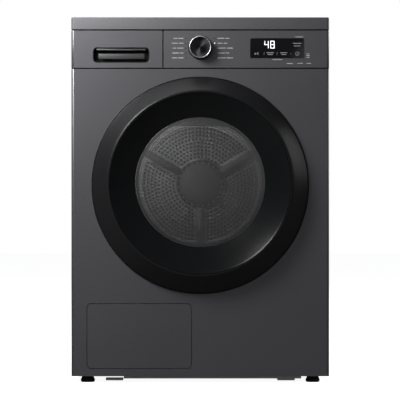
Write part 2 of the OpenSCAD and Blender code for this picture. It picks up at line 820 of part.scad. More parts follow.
module lint_filter() color("white") difference() {
    filter_body(filter_w, filter_d, filter_z0);
    // Hollow inside, open at the top, with three windows in each face
    block([-filter_w / 2 + 3, filter_w / 2 - 3],
          [filter_y - filter_d / 2 + 2, filter_y + filter_d / 2 - 2], [filter_z0 + 3, drum_z]);
    for (i = [-1 : 1])
        block([i * 53 - 23, i * 53 + 23], [filter_y - filter_d, filter_y + filter_d],
              [filter_z0 + 8, drum_z - neck_r - 10]);
}

module air_duct() color("gray") {
    w = filter_w / 2 + 6;
    y0 = filter_y - filter_d / 2 - 3;
    y1 = filter_y + filter_d / 2 + 3;
    z1 = filter_z0 - 6;
    // Shaft around the filter, and the manifold that leads across to the channel
    difference() {
        union() {
            block([-w, w], [y0, y1], [z1, drum_z - neck_r - 6]);
            block([channel_x0 + 30, w], [y0, y1], [channel_z1, z1]);
        }
        block([-w + 2, w - 2], [y0 + 2, y1 - 2], [channel_z1 + 2, drum_z]);
        block([channel_x0 + 32, w - 2], [y0 + 2, y1 - 2], [channel_z1 + 2, z1 - 2]);
        block([channel_x0 + 32, channel_x1 - 5], [y0 + 2, y1 - 2], [channel_z1 - 1, channel_z1 + 3]);
    }
    // Lid of the channel
    difference() {
        block([channel_x0, channel_x1], [base_y0, base_y1 - 60 + wall],
              [channel_z1 - wall, channel_z1]);
        block([channel_x0 + 32, channel_x1 - 5], [y0 + 2, y1 - 2],
              [channel_z1 - wall - 1, channel_z1 + 1]);
    }
}

module inner_cover() color("dimgray") difference() {
    union() {
        block([channel_x0 + 4, channel_x1 - 4], [base_y0 - 4, base_y0],
              [cover_z0 + 0.5, channel_z1 - 1]);
        // Stiffening ribs
        for (i = [-2 : 2])
            block([flap_x + i * 32 - 1.5, flap_x + i * 32 + 1.5], [base_y0 - 7, base_y0 - 4],
                  [cover_z0 + 10, channel_z1 - 10]);
    }
    for (s = [-1, 1])
        ycyl(lock_stem_r + run, [base_y0 - 8, base_y0 + 1], lock_x(s), lock_z);
}

module cover_lock(s) {
    head_y = base_y0 - 4 - touch;
    ycyl(lock_r, [head_y - 5, head_y], lock_x(s), lock_z);
    ycyl(lock_stem_r, [head_y, base_y0 + 6], lock_x(s), lock_z);
    block([lock_x(s) - 2.5, lock_x(s) + 2.5], [head_y - 8, head_y - 5],
          [lock_z - lock_r + 2, lock_z + lock_r - 2]);
    block([lock_x(s) - 3, lock_x(s) + 3], [base_y0 + 2, base_y0 + 6], [lock_z - 3, lock_z + 12]);
}

module cover_lock_left() color("gray") cover_lock(-1);

module cover_lock_right() color("gray") cover_lock(1);

// ---- heat pump

// A block of fins with its end plates and tubes
module exchanger(y, count) {
    pitch = (exchanger_x[1] - exchanger_x[0] - 4) / count;
    for (x = [exchanger_x[0], exchanger_x[1] - 2])
        block([x, x + 2], y, exchanger_z);
    for (i = [1 : count - 1]) {
        x = exchanger_x[0] + 2 + i * pitch;
        block([x, x + 1], [y[0] + 3, y[1] - 3], [exchanger_z[0] + 2, exchanger_z[1] - 2]);
    }
    for (j = [0 : 3])
        translate([exchanger_x[0], (y[0] + y[1]) / 2, exchanger_z[0] + 14 + j * 26])
            rotate([0, 90, 0])
                cylinder(r = pipe_r, h = exchanger_x[1] - exchanger_x[0]);
}

module evaporator() color("silver") exchanger(evaporator_y, 24);

module condenser() color("silver") exchanger(condenser_y, 24);

module compressor() color("black") {
    translate([comp_x, comp_y, comp_z0])
        cylinder(r = comp_r, h = comp_z1 - comp_z0);
    translate([comp_x, comp_y, comp_z1])
        cylinder(r1 = comp_r, r2 = comp_r / 2, h = 14);
    translate([comp_x, comp_y, comp_z1 + 14])
        cylinder(r = 14, h = 8);
    // Three feet on rubber grommets
    for (a = [90 : 120 : 330])
        translate([comp_x + (comp_r + 4) * cos(a), comp_y + (comp_r + 4) * sin(a), rest_z]) {
            cylinder(r = 9, h = 14);
            translate([0, 0, 14])
                cylinder(r = 14, h = 3);
        }
}

module refrigerant_pipes() color("peru") {
    x0 = exchanger_x[1];
    x1 = comp_x - comp_r - 0.1;
    pipe([[x0, comp_y + 40, 110], [40, comp_y + 40, 110], [40, comp_y, 110], [x1, comp_y, 110]], pipe_r);
    pipe([[x0, comp_y - 120, 70], [30, comp_y - 120, 70], [30, comp_y, 70], [x1, comp_y, 70]], pipe_r);
    pipe([[x0, comp_y + 40, 60], [8, comp_y + 40, 60], [8, comp_y - 120, 58], [x0, comp_y - 120, 58]],
         pipe_r);
}

// ---- drive

module belt() color("black") yplate([belt_y - belt_w / 2, belt_y + belt_w / 2]) difference() {
    wrap(drum_c, belt_in[0] + belt_t, motor_c, belt_in[1] + belt_t);
    wrap(drum_c, belt_in[0], motor_c, belt_in[1]);
}

module motor() color("darkgray") {
    difference() {
        union() {
            ycyl(motor_r, [motor_y0 + 8, motor_y1 - 8], motor_x, motor_z);
            for (y = [motor_y0, motor_y1 - 8])
                ycyl(motor_r - 6, [y, y + 8], motor_x, motor_z);
            block([motor_x - motor_r, motor_x + motor_r], [motor_y0 + 20, motor_y1 - 20],
                  [rest_z, rest_z + 10]);
            for (s = [-1, 1])
                block([motor_x + s * motor_r * 0.7 - 4, motor_x + s * motor_r * 0.7 + 4],
                      [motor_y0 + 20, motor_y1 - 20], [rest_z + 10, motor_z - motor_r * 0.6]);
        }
        ycyl(shaft_r / 2 + run, [motor_y0 - 1, motor_y1 + 1], motor_x, motor_z);
    }
    // Pivot of the tension arm
    ycyl(idler_axle_r, [arm_y[0] - 1, motor_y0 + 9], pivot_c[0], pivot_c[1]);
}

module motor_shaft() color("silver") {
    ycyl(shaft_r / 2, [belt_y - belt_w, fan_y1 - 8], motor_x, motor_z);
    ycyl(pulley_r, [belt_y - belt_w / 2 - 0.5, belt_y + belt_w / 2 + 0.5], motor_x, motor_z);
    for (y = [belt_y - belt_w / 2 - 2.5, belt_y + belt_w / 2 + 0.5])
        ycyl(pulley_r + 2, [y, y + 2], motor_x, motor_z);
}

module fan_impeller() color("darkslategray") difference() {
    r = fan_r - 10;
    union() {
        ycyl(r, [fan_y0 + 6, fan_y0 + 8], motor_x, motor_z);
        ycyl(shaft_r, [fan_y0 + 6, fan_y1 - 8], motor_x, motor_z);
        ytube([r - 3, r], [fan_y1 - 12, fan_y1 - 8], motor_x, motor_z);
        for (a = [0 : 20 : 340])
            translate([motor_x, 0, motor_z])
                rotate([0, a, 0])
                    block([r - 16, r - 1], [fan_y0 + 7, fan_y1 - 8], [-0.8, 0.8]);
    }
    ycyl(shaft_r / 2, [fan_y0, fan_y1], motor_x, motor_z);
}

module fan_housing() color("gray") {
    ytube([fan_r - 3, fan_r], [fan_y0, back_y - sheet], motor_x, motor_z);
    ytube([fan_r / 2, fan_r - 3], [fan_y0, fan_y0 + 2.5], motor_x, motor_z);
}

module tension_arm() color("silver") difference() {
    union() {
        yplate(arm_y)
            difference() {
                wrap(pivot_c, 9, idler_c, 7, 12, 12);
                translate((pivot_c + idler_c) / 2)
                    circle(3);
            }
        ycyl(idler_axle_r, [belt_y - belt_w / 2 - 2, arm_y[0]], idler_c[0], idler_c[1]);
    }
    ycyl(idler_axle_r + run, [arm_y[0] - 1, arm_y[1] + 1], pivot_c[0], pivot_c[1]);
}

module idler_pulley() color("white") difference() {
    ycyl(idler_r, [belt_y - belt_w / 2 - 1, belt_y + belt_w / 2 + 1], idler_c[0], idler_c[1]);
    ycyl(idler_axle_r + run, [belt_y - belt_w, belt_y + belt_w], idler_c[0], idler_c[1]);
}

module drain_pump() color("white") {
    translate([60, back_y - 50, rest_z])
        cylinder(r = 28, h = 20);
    translate([60, back_y - 50, rest_z + 20])
        cylinder(r = 20, h = 40);
    translate([60, back_y - 70, rest_z + 10])
        rotate([90, 0, 0])
            cylinder(r = 6, h = 26);
}

// ---- drum

module drum_shell() color("silver") {
    ytube([drum_r - drum_t, drum_r], [drum_y0, drum_y1], 0, drum_z);
    ytube([neck_r + 15, drum_r - drum_t], [drum_y0, drum_y0 + drum_t], 0, drum_z);
    ytube([neck_r + 15, neck_r + 17], [drum_y0 + drum_t, drum_y0 + 10], 0, drum_z);
}

// Perforations of one third of the drum's back, between two spokes
module perforations() {
    for (ring = [0 : 3], i = [-2 - floor(ring / 2) : 2 + floor(ring / 2)]) {
        r = 76 + 17 * ring;
        a = i * 14 / (1 + ring * 0.18);
        translate([r * sin(a), r * cos(a)])
            circle(4);
    }
}

module drum_back() color("silver") difference() {
    union() {
        ycyl(drum_r - drum_t, [drum_y1 - back_t, drum_y1], 0, drum_z);
        ycyl(60, [drum_y1, drum_y1 + 6], 0, drum_z);
        ycyl(shaft_r, [drum_y1 + 6, back_y - sheet - 1], 0, drum_z);
        for (a = [60 : 120 : 300])
            translate([0, 0, drum_z])
                rotate([0, a, 0])
                    block([-14, 14], [drum_y1, drum_y1 + 6], [50, drum_r - 30]);
    }
    yplate([drum_y1 - 3, drum_y1 + 1])
        translate([0, drum_z])
            for (a = [0 : 120 : 240])
                rotate(a)
                    perforations();
}

module drum_lifters() color("gainsboro")
    yplate([drum_y0 + 12, drum_y1 - 12])
        translate([0, drum_z])
            intersection() {
                circle(drum_r - drum_t, $fn = 180);
                union() {
                    for (a = [0 : 120 : 240])
                        rotate(a)
                            lifter_outline(drum_r - lifter_h);
                }
            }

module lifter_outline(r) {
    polygon([[-34, drum_r + 5], [34, drum_r + 5], [10, r + 8], [-10, r + 8]]);
    translate([0, r + 11])
        circle(10.5);
}

module drum_seal() color("ivory")
    ytube([neck_r + 22, neck_r + 36], [bulkhead_y + 2, drum_y0 - touch], 0, drum_z);

module roller(s) {
    difference() {
        union() {
            ycyl(roller_r, [roller_y, roller_y + roller_w], s * roller_x, roller_z);
            ycyl(axle_r + 5, [roller_y - 3, roller_y + roller_w + 2], s * roller_x, roller_z);
        }
        ycyl(axle_r + run, [roller_y - 5, roller_y + roller_w + 4], s * roller_x, roller_z);
        ytube([axle_r + 9, roller_r - 7], [roller_y - 1, roller_y + 7], s * roller_x, roller_z);
    }
}

module roller_left() color("dimgray") roller(-1);

module roller_right() color("dimgray") roller(1);

// ---- service flap, rear fittings and feet

module service_flap() color("dimgray") {
    rim_w = flap_w - 12;
    rim_h = flap_rim_z[1] - flap_rim_z[0];
    rim_t = 2;
    yplate([panel_y, panel_y + flap_t])
        translate([flap_x, flap_z + flap_h / 2])
            round_rect(flap_w, flap_h, flap_r);
    // Stiffening rim behind the plate
    yplate([panel_y + flap_t, panel_y + flap_t + 4])
        translate([flap_x, (flap_rim_z[0] + flap_rim_z[1]) / 2])
            difference() {
                round_rect(rim_w, rim_h, 6);
                round_rect(rim_w - 2 * rim_t, rim_h - 2 * rim_t, 6 - rim_t);
            }
    for (s = [-1, 1])
        translate([flap_x + s * flap_knuckle_x - flap_knuckle_w / 2, 0, 0])
            difference() {
                union() {
                    translate([0, flap_axis_y, flap_axis_z])
                        rotate([0, 90, 0])
                            cylinder(r = flap_knuckle_r, h = flap_knuckle_w);
                    block([0, flap_knuckle_w], [panel_y + flap_t, flap_axis_y],
                          [flap_axis_z - flap_t, flap_axis_z + flap_knuckle_r]);
                }
                translate([-1, flap_axis_y, flap_axis_z])
                    rotate([0, 90, 0])
                        cylinder(r = flap_pin_r + run, h = flap_knuckle_w + 2);
            }
}

module cord_gland() color("black") difference() {
    union() {
        ycyl(gland_r + 8, [back_y - 8, back_y], -gland_x, gland_z);
        ycyl(gland_r + 11, [back_y, back_y + 3], -gland_x, gland_z);
        ycyl(gland_r + 4, [back_y + 3, body_d / 2], -gland_x, gland_z);
    }
    ycyl(gland_r, [back_y - 9, body_d / 2 + 1], -gland_x, gland_z);
}

module drain_spigot() color("gray") difference() {
    union() {
        ycyl(spigot_r + 5, [back_y - 4, back_y], -gland_x, spigot_z);
        ycyl(spigot_r + 8, [back_y, back_y + 2], -gland_x, spigot_z);
        ycyl(spigot_r, [back_y + 2, body_d / 2], -gland_x, spigot_z);
    }
    ycyl(spigot_r - 3, [back_y - 5, body_d / 2 + 1], -gland_x, spigot_z);
}

module foot(x, y) color("black") translate([x, y, 0]) {
    cylinder(r1 = foot_r - 2, r2 = foot_r, h = 4);
    translate([0, 0, 4])
        cylinder(r1 = foot_r, r2 = foot_r - 4, h = plinth_h - 5);
    cylinder(r = stem_r, h = base_z + 33);
    translate([0, 0, plinth_h])
        cylinder(r = stem_r + 4, h = 4, $fn = 6);
}

module foot_front_left() foot(-foot_x, foot_y0);

module foot_front_right() foot(foot_x, foot_y0);

module foot_rear_left() foot(-foot_x, foot_y1);

module foot_rear_right() foot(foot_x, foot_y1);

worktop();
side_panel_left();
side_panel_right();
front_panel();
rear_panel();
rear_cover();
base_tray();
front_rail();
control_fascia();
display_glass();
indicator_lights();
control_board();
tank_bay();
front_bulkhead();
drum_seal();
door_seal();
hinge_bracket();
latch_receiver();
lint_filter();
air_duct();
inner_cover();
evaporator();
condenser();
compressor();
refrigerant_pipes();
motor();
fan_housing();
belt();
drain_pump();
cord_gland();
drain_spigot();
cabinet_screws();
door_bezel();
door_dish();
door_glass();
door_bowl();
door_frame();
hinge_arm();
latch_hook();
drum_shell();
drum_back();
drum_lifters();
roller_left();
roller_right();
motor_shaft();
fan_impeller();
tension_arm();
idler_pulley();
tank_front();
handle_pocket();
water_tank();
knob();
service_flap();
cover_lock_left();
cover_lock_right();
door_switch();
foot_front_left();
foot_front_right();
foot_rear_left();
foot_rear_right();
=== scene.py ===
"""Clothes dryer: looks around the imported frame. Metres, +Z up, the door faces -Y."""
import json
import math

import bmesh
import bpy
from mathutils import Matrix, Vector


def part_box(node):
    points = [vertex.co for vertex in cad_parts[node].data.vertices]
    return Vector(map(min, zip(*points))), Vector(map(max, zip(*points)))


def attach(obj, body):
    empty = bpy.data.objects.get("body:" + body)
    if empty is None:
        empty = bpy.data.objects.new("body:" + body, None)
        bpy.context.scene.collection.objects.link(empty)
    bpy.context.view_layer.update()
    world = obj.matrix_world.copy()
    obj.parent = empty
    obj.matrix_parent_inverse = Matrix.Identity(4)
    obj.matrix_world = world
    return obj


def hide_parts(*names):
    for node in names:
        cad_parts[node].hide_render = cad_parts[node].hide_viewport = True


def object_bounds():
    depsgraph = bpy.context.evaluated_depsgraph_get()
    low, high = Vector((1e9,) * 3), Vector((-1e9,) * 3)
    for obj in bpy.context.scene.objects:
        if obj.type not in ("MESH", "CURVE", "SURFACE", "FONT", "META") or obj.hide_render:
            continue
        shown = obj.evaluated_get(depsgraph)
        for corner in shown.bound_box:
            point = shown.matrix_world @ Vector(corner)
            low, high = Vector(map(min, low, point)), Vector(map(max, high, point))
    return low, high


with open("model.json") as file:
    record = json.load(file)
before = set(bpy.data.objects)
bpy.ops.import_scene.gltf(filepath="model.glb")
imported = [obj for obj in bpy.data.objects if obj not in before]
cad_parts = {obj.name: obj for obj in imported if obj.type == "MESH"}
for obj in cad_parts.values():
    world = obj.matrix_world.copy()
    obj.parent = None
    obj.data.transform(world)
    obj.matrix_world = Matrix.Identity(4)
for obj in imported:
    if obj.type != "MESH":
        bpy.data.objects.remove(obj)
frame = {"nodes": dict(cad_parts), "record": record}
cad_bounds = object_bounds()
nodes = frame["nodes"]
MM = 0.001
TAU = 2 * math.pi
# A quarter turn in seven points
QUARTER = [math.radians(15 * i) for i in range(7)]
# Name, place, target, side in metres and power in watts of each square lamp
LAMPS = (
    ("key", (-1.95, -1.35, 2.20), (-0.2, -0.3, 0.65), 1.0, 25),
    ("near", (-0.68, -0.92, 1.23), (-0.22, -0.3, 0.70), 0.4, 13),
    ("front_soft", (-1.3, -4.2, 2.1), (0, 0, 0.5), 1.2, 12),
    ("fill", (1.5, -4.8, 1.2), (0, 0, 0.4), 1.6, 3),
    ("top", (-0.6, 0.2, 3.2), (0, 0, 0.8), 2.0, 26),
    ("rear", (2.4, 3.0, 2.2), (0, 0, 0.5), 1.5, 70),
    ("side", (3.0, 0.6, 1.5), (0.3, 0, 0.45), 1.5, 34),
    ("drum_lamp", (-0.08, -0.200, 0.54), (-0.03, 0.234, 0.50), 0.14, 0.18),
)
# Width in millimetres of the softened edges of the nodes that show
SOFT_EDGES = {
    0.3: ("front_rail", "hinge_bracket", "hinge_arm"),
    0.4: ("side_panel_left", "side_panel_right", "rear_panel", "front_bulkhead"),
    0.5: ("service_flap", "latch_receiver", "tank_bay"),
    0.6: ("front_panel", "inner_cover", "door_frame", "cord_gland", "drain_spigot", "air_duct"),
    0.8: ("control_fascia", "tank_front", "rear_cover", "base_tray"),
    1.0: ("drain_pump", "roller_left", "roller_right"),
    1.5: ("compressor", "motor", "drum_lifters"),
}
# The indicator lights stand in five rows
LIGHT_R = 1.4 * MM
LIGHT_ROWS = 5


def placed(name, data):
    """A new object in the scene that holds data."""
    obj = bpy.data.objects.new(name, data)
    bpy.context.scene.collection.objects.link(obj)
    return obj


# ---- camera, light and floor

def make_camera():
    """Long lens straight at the front, as high as the middle of the cabinet."""
    middle = cad_bounds[1][2] / 2
    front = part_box("worktop")[0][1]
    aside = -0.0006
    distance = 5.0
    view_width = 0.930
    data = bpy.data.cameras.new("camera")
    data.sensor_width = 36.0
    data.lens = data.sensor_width * distance / view_width
    data.clip_end = 60.0
    camera = placed("camera", data)
    camera.location = (aside, front - distance, middle)
    camera.rotation_euler = (math.radians(90), 0, 0)
    bpy.context.scene.camera = camera


def make_lamp(name, place, target, side, power):
    """A square lamp that lights the scene without showing in it."""
    data = bpy.data.lights.new(name, "AREA")
    data.shape = "RECTANGLE"
    data.size = side
    data.size_y = side
    data.energy = power
    lamp = placed(name, data)
    lamp.location = place
    lamp.rotation_euler = (Vector(target) - Vector(place)).to_track_quat("-Z", "Y").to_euler()
    lamp.visible_camera = False


def make_floor():
    """A flat floor that looks white to the camera, but throws little light up at the cabinet."""
    half, drop = 12.0, 0.0005
    corners = [(sx * half, sy * half, -drop) for sx, sy in ((-1, -1), (1, -1), (1, 1), (-1, 1))]
    floor = mesh_piece("floor", corners, [(0, 1, 2, 3)])
    mat, tree, shader = new_material("floor_white")
    shader.inputs["Roughness"].default_value = 0.9
    shader.inputs["Emission Color"].default_value = (1, 1, 1, 1)
    path = tree.nodes.new("ShaderNodeLightPath")
    glow = tree.nodes.new("ShaderNodeMapRange")
    glow.inputs["To Min"].default_value = 0.02
    glow.inputs["To Max"].default_value = 0.94
    link(tree, path.outputs["Is Camera Ray"], glow.inputs["Value"])
    link(tree, glow.outputs["Result"], shader.inputs["Emission Strength"])
    tone = tinted(tree, path.outputs["Is Camera Ray"], (0.10, 0.10, 0.10), (0.8, 0.8, 0.8))
    link(tree, tone, shader.inputs["Base Color"])
    floor.data.materials.append(mat)


def make_surround():
    """A surround that is white to the camera and dim to everything it lights."""
    scene = bpy.context.scene
    scene.view_settings.view_transform = "Standard"
    world = bpy.data.worlds.new("studio")
    scene.world = world
    world.use_nodes = True
    tree = world.node_tree
    dim = tree.nodes["Background"]
    dim.inputs["Color"].default_value = (0.84, 0.85, 0.90, 1)
    dim.inputs["Strength"].default_value = 0.05
    white = tree.nodes.new("ShaderNodeBackground")
    white.inputs["Color"].default_value = (1, 1, 1, 1)
    seen = tree.nodes.new("ShaderNodeLightPath")
    either = tree.nodes.new("ShaderNodeMixShader")
    link(tree, seen.outputs["Is Camera Ray"], either.inputs["Fac"])
    link(tree, dim.outputs["Background"], either.inputs[1])
    link(tree, white.outputs["Background"], either.inputs[2])
    link(tree, either.outputs["Shader"], tree.nodes["World Output"].inputs["Surface"])


# ---- mesh helpers

def mesh_piece(name, verts, faces, smooth=False):
    data = bpy.data.meshes.new(name)
    data.from_pydata([tuple(v) for v in verts], [], faces)
    data.validate()
    if smooth:
        data.polygons.foreach_set("use_smooth", [True] * len(data.polygons))
    data.update()
    return placed(name, data)


def outward(obj):
    """Makes the normals of a closed mesh point outwards."""
    bm = bmesh.new()
    bm.from_mesh(obj.data)
    bmesh.ops.recalc_face_normals(bm, faces=bm.faces)
    bm.to_mesh(obj.data)
    bm.free()
    return obj


def sharpen(obj, degrees=35):
    """Smooth shading that breaks at edges over an angle."""
    obj.data.polygons.foreach_set("use_smooth", [True] * len(obj.data.polygons))
    obj.data.set_sharp_from_angle(angle=math.radians(degrees))
    return obj


def turned(name, profile, segments=160, x=0.0, closed=True):
    """Rings about Y. profile holds (radius, y, height of the ring's centre)."""
    verts, faces = [], []
    for r, y, z in profile:
        for i in range(segments):
            a = TAU * i / segments
            verts.append((x + r * math.sin(a), y, z + r * math.cos(a)))
    n = len(profile)
    for k in range(n if closed else n - 1):
        a, b = k * segments, (k + 1) % n * segments
        for i in range(segments):
            j = (i + 1) % segments
            faces.append((a + i, a + j, b + j, b + i))
    if not closed:
        faces.append(tuple(reversed(range(segments))))
        faces.append(tuple((n - 1) * segments + i for i in range(segments)))
    return sharpen(outward(mesh_piece(name, verts, faces)))


def round_outline(w, h, r, steps=8):
    """Points of a rectangle with round corners, centred, anticlockwise."""
    points = []
    for k, (sx, sz) in enumerate(((1, 1), (-1, 1), (-1, -1), (1, -1))):
        for i in range(steps + 1):
            a = math.radians(90 * (k + i / steps))
            points.append((sx * (w / 2 - r) + r * math.cos(a),
                           sz * (h / 2 - r) + r * math.sin(a)))
    return points


def stacked(name, rings, cap=True):
    """Closed skin over rings of equal point counts."""
    n = len(rings[0])
    verts = [p for ring in rings for p in ring]
    faces = []
    for k in range(len(rings) - 1):
        for i in range(n):
            j = (i + 1) % n
            faces.append((k * n + i, k * n + j, (k + 1) * n + j, (k + 1) * n + i))
    if cap:
        faces.append(tuple(range(n)))
        faces.append(tuple((len(rings) - 1) * n + i for i in range(n)))
    return sharpen(outward(mesh_piece(name, verts, faces)))


def tablet(name, x, z, w, h, r, y0, y1, edge):
    """A tablet with round corners in the front plane, from y0 to y1, its front edge rounded."""
    rings = [[(x + px, y1, z + pz) for px, pz in round_outline(w, h, r)]]
    steps = 5
    for i in range(steps + 1):
        a = math.radians(90 * i / steps)
        inset = edge * (1 - math.cos(a))
        outline = round_outline(w - 2 * inset, h - 2 * inset, max(r - inset, 0.1 * MM))
        rings.append([(x + px, y0 + edge * (1 - math.sin(a)), z + pz) for px, pz in outline])
    return stacked(name, rings)


def flat_shapes(name, outlines, y, lift=0.00012):
    """Thin printed shapes lying on a front face at y; each outline is a list of (x, z)."""
    verts, faces = [], []
    for outline in outlines:
        base, n = len(verts), len(outline)
        verts += [(px, y - lift, pz) for px, pz in outline]
        verts += [(px, y + lift, pz) for px, pz in outline]
        faces.append(tuple(base + i for i in range(n)))
        faces.append(tuple(base + n + i for i in reversed(range(n))))
        for i in range(n):
            j = (i + 1) % n
            faces.append((base + i, base + n + i, base + n + j, base + j))
    return outward(mesh_piece(name, verts, faces))


def pill(x, z, w, h, steps=4):
    """Outline of a bar with round ends."""
    return [(x + px, z + pz) for px, pz in round_outline(w, h, min(w, h) / 2 * 0.96, steps)]


def disc(x, z, r, n=20):
    """Outline of a circle in n points."""
    return [(x + r * math.cos(TAU * i / n), z + r * math.sin(TAU * i / n)) for i in range(n)]


def mesh_of(curve):
    """The mesh that a curve's fill and bevel make."""
    temp = placed(curve.name, curve)
    bpy.context.view_layer.update()
    graph = bpy.context.evaluated_depsgraph_get()
    data = bpy.data.meshes.new_from_object(temp.evaluated_get(graph))
    bpy.data.objects.remove(temp)
    return data


def pierced(name, outlines, y0, y1, edge):
    """A plate in the front plane: the first outline is its edge, the others are holes."""
    curve = bpy.data.curves.new(name, "CURVE")
    curve.dimensions = "2D"
    curve.fill_mode = "BOTH"
    curve.extrude = (y1 - y0) / 2 - edge
    curve.bevel_depth = edge
    curve.bevel_resolution = 1
    curve.offset = -edge
    for outline in outlines:
        spline = curve.splines.new("POLY")
        spline.points.add(len(outline) - 1)
        spline.points.foreach_set("co", [c for p in outline for c in (p[0], p[1], 0, 1)])
        spline.use_cyclic_u = True
    data = mesh_of(curve)
    upright = Matrix.Rotation(math.radians(90), 4, "X")
    data.transform(Matrix.Translation((0, (y0 + y1) / 2, 0)) @ upright)
    data.name = name
    obj = placed(name, data)
    bm = bmesh.new()
    bm.from_mesh(data)
    bmesh.ops.remove_doubles(bm, verts=bm.verts, dist=1e-6)
    bm.to_mesh(data)
    bm.free()
    return sharpen(outward(obj))


def rod(name, points, radius, resolution=4, cyclic=False):
    """A round bar or wire along points."""
    curve = bpy.data.curves.new(name, "CURVE")
    curve.dimensions = "3D"
    curve.bevel_depth = radius
    curve.bevel_resolution = resolution
    curve.use_fill_caps = True
    spline = curve.splines.new("POLY")
    spline.points.add(len(points) - 1)
    spline.points.foreach_set("co", [c for p in points for c in (*p, 1)])
    spline.use_cyclic_u = cyclic
    return sharpen(placed(name, mesh_of(curve)))


def joined(name, objects):
    """One object from several."""
    data = bpy.data.meshes.new(name)
    bm = bmesh.new()
    for obj in objects:
        bm.from_mesh(obj.data)
        bpy.data.objects.remove(obj)
    bm.to_mesh(data)
    bm.free()
    return sharpen(placed(name, data))


def block(name, low, high, edge=0.0005):
    """A block with rounded edges."""
    bm = bmesh.new()
    bmesh.ops.create_cube(bm, size=1)
    size = [b - a for a, b in zip(low, high)]
    for v in bm.verts:
        v.co = [a + (c + 0.5) * s for a, c, s in zip(low, v.co, size)]
    bmesh.ops.bevel(bm, geom=list(bm.edges), offset=min(edge, min(size) * 0.45), segments=2,
                    profile=0.5, affect="EDGES")
    data = bpy.data.meshes.new(name)
    bm.to_mesh(data)
    bm.free()
    return sharpen(outward(placed(name, data)))


def piece(obj, body, slot, material, *stands_for):
    """Gives a new piece its finish, and hangs it on its body."""
    obj.data.materials.clear()
    obj.data.materials.append(material)
    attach(obj, body)
    if stands_for:
        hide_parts(*stands_for)
    return obj


# ---- materials

def new_material(name):
    """A material, its node tree and its shader."""
    mat = bpy.data.materials.new(name)
    mat.use_nodes = True
    return mat, mat.node_tree, mat.node_tree.nodes["Principled BSDF"]


def link(tree, a, b):
    tree.links.new(a, b)


def coordinates(tree, stretch=(1, 1, 1)):
    """Object coordinates in metres, stretched along the axes."""
    coord = tree.nodes.new("ShaderNodeTexCoord")
    mapping = tree.nodes.new("ShaderNodeMapping")
    mapping.inputs["Scale"].default_value = stretch
    link(tree, coord.outputs["Object"], mapping.inputs["Vector"])
    return mapping.outputs["Vector"]


def noise(tree, vector, scale, detail=3.0):
    node = tree.nodes.new("ShaderNodeTexNoise")
    node.inputs["Scale"].default_value = scale
    node.inputs["Detail"].default_value = detail
    link(tree, vector, node.inputs["Vector"])
    return node.outputs["Fac"]


def spread(tree, fac, low, high):
    """Maps the middle of a noise to a range of values."""
    node = tree.nodes.new("ShaderNodeMapRange")
    node.inputs["From Min"].default_value = 0.3
    node.inputs["From Max"].default_value = 0.7
    node.inputs["To Min"].default_value = low
    node.inputs["To Max"].default_value = high
    link(tree, fac, node.inputs["Value"])
    return node.outputs["Result"]


def tinted(tree, fac, dark, light):
    """Goes from a dark to a light colour as fac goes from 0 to 1."""
    node = tree.nodes.new("ShaderNodeMix")
    node.data_type = "RGBA"
    node.inputs["A"].default_value = (*dark, 1)
    node.inputs["B"].default_value = (*light, 1)
    link(tree, fac, node.inputs["Factor"])
    return node.outputs["Result"]


def bumped(tree, shader, height, strength, distance=0.0002):
    """Raises the shading of a surface by height."""
    node = tree.nodes.new("ShaderNodeBump")
    node.inputs["Strength"].default_value = strength
    node.inputs["Distance"].default_value = distance
    link(tree, height, node.inputs["Height"])
    link(tree, node.outputs["Normal"], shader.inputs["Normal"])


def surface(name, colour, metallic=0.0, rough=0.5, grain=900.0, depth=0.15, tone=0.06,
            rough_spread=0.05, stretch=(1, 1, 1), mottle=14.0, **constant):
    """A finish with slow tone changes, fine grain in its roughness, and a grain bump."""
    mat, tree, shader = new_material(name)
    slow = noise(tree, coordinates(tree), mottle)
    fine = noise(tree, coordinates(tree, stretch), grain)
    dark = [c * (1 - tone) for c in colour]
    light = [min(1, c * (1 + tone)) for c in colour]
    link(tree, tinted(tree, spread(tree, slow, 0, 1), dark, light), shader.inputs["Base Color"])
    link(tree, spread(tree, fine, rough - rough_spread, rough + rough_spread),
         shader.inputs["Roughness"])
    shader.inputs["Metallic"].default_value = metallic
    for key, value in constant.items():
        shader.inputs[key.replace("_", " ")].default_value = value
    bumped(tree, shader, fine, depth)
    return mat


def flake_paint(name, colour, rough=0.42):
    """Metallic paint: fine bright flakes under a satin coat."""
    mat, tree, shader = new_material(name)
    flakes = tree.nodes.new("ShaderNodeTexVoronoi")
    flakes.inputs["Scale"].default_value = 1500.0
    link(tree, coordinates(tree), flakes.inputs["Vector"])
    slow = noise(tree, coordinates(tree), 6.0)
    dark = [c * 0.90 for c in colour]
    light = [c * 1.10 for c in colour]
    link(tree, tinted(tree, flakes.outputs["Color"], dark, light), shader.inputs["Base Color"])
    link(tree, spread(tree, slow, rough - 0.02, rough + 0.02), shader.inputs["Roughness"])
    shader.inputs["Metallic"].default_value = 0.72
    shader.inputs["Coat Weight"].default_value = 0.12
    shader.inputs["Coat Roughness"].default_value = 0.30
    bumped(tree, shader, noise(tree, coordinates(tree), 700.0), 0.04)
    return mat


def see_through(name, colour, alpha, rough=0.03, shine=0.6, ior=1.5):
    """Tinted glass: light passes straight, the surface still shines."""
    mat, tree, shader = new_material(name)
    smear = noise(tree, coordinates(tree), 9.0)
    link(tree, spread(tree, smear, rough, rough + 0.03), shader.inputs["Roughness"])
    link(tree, tinted(tree, smear, colour, [c * 1.2 for c in colour]), shader.inputs["Base Color"])
    shader.inputs["Alpha"].default_value = alpha
    shader.inputs["IOR"].default_value = ior
    shader.inputs["Specular IOR Level"].default_value = shine
    mat.surface_render_method = "BLENDED"
    return mat


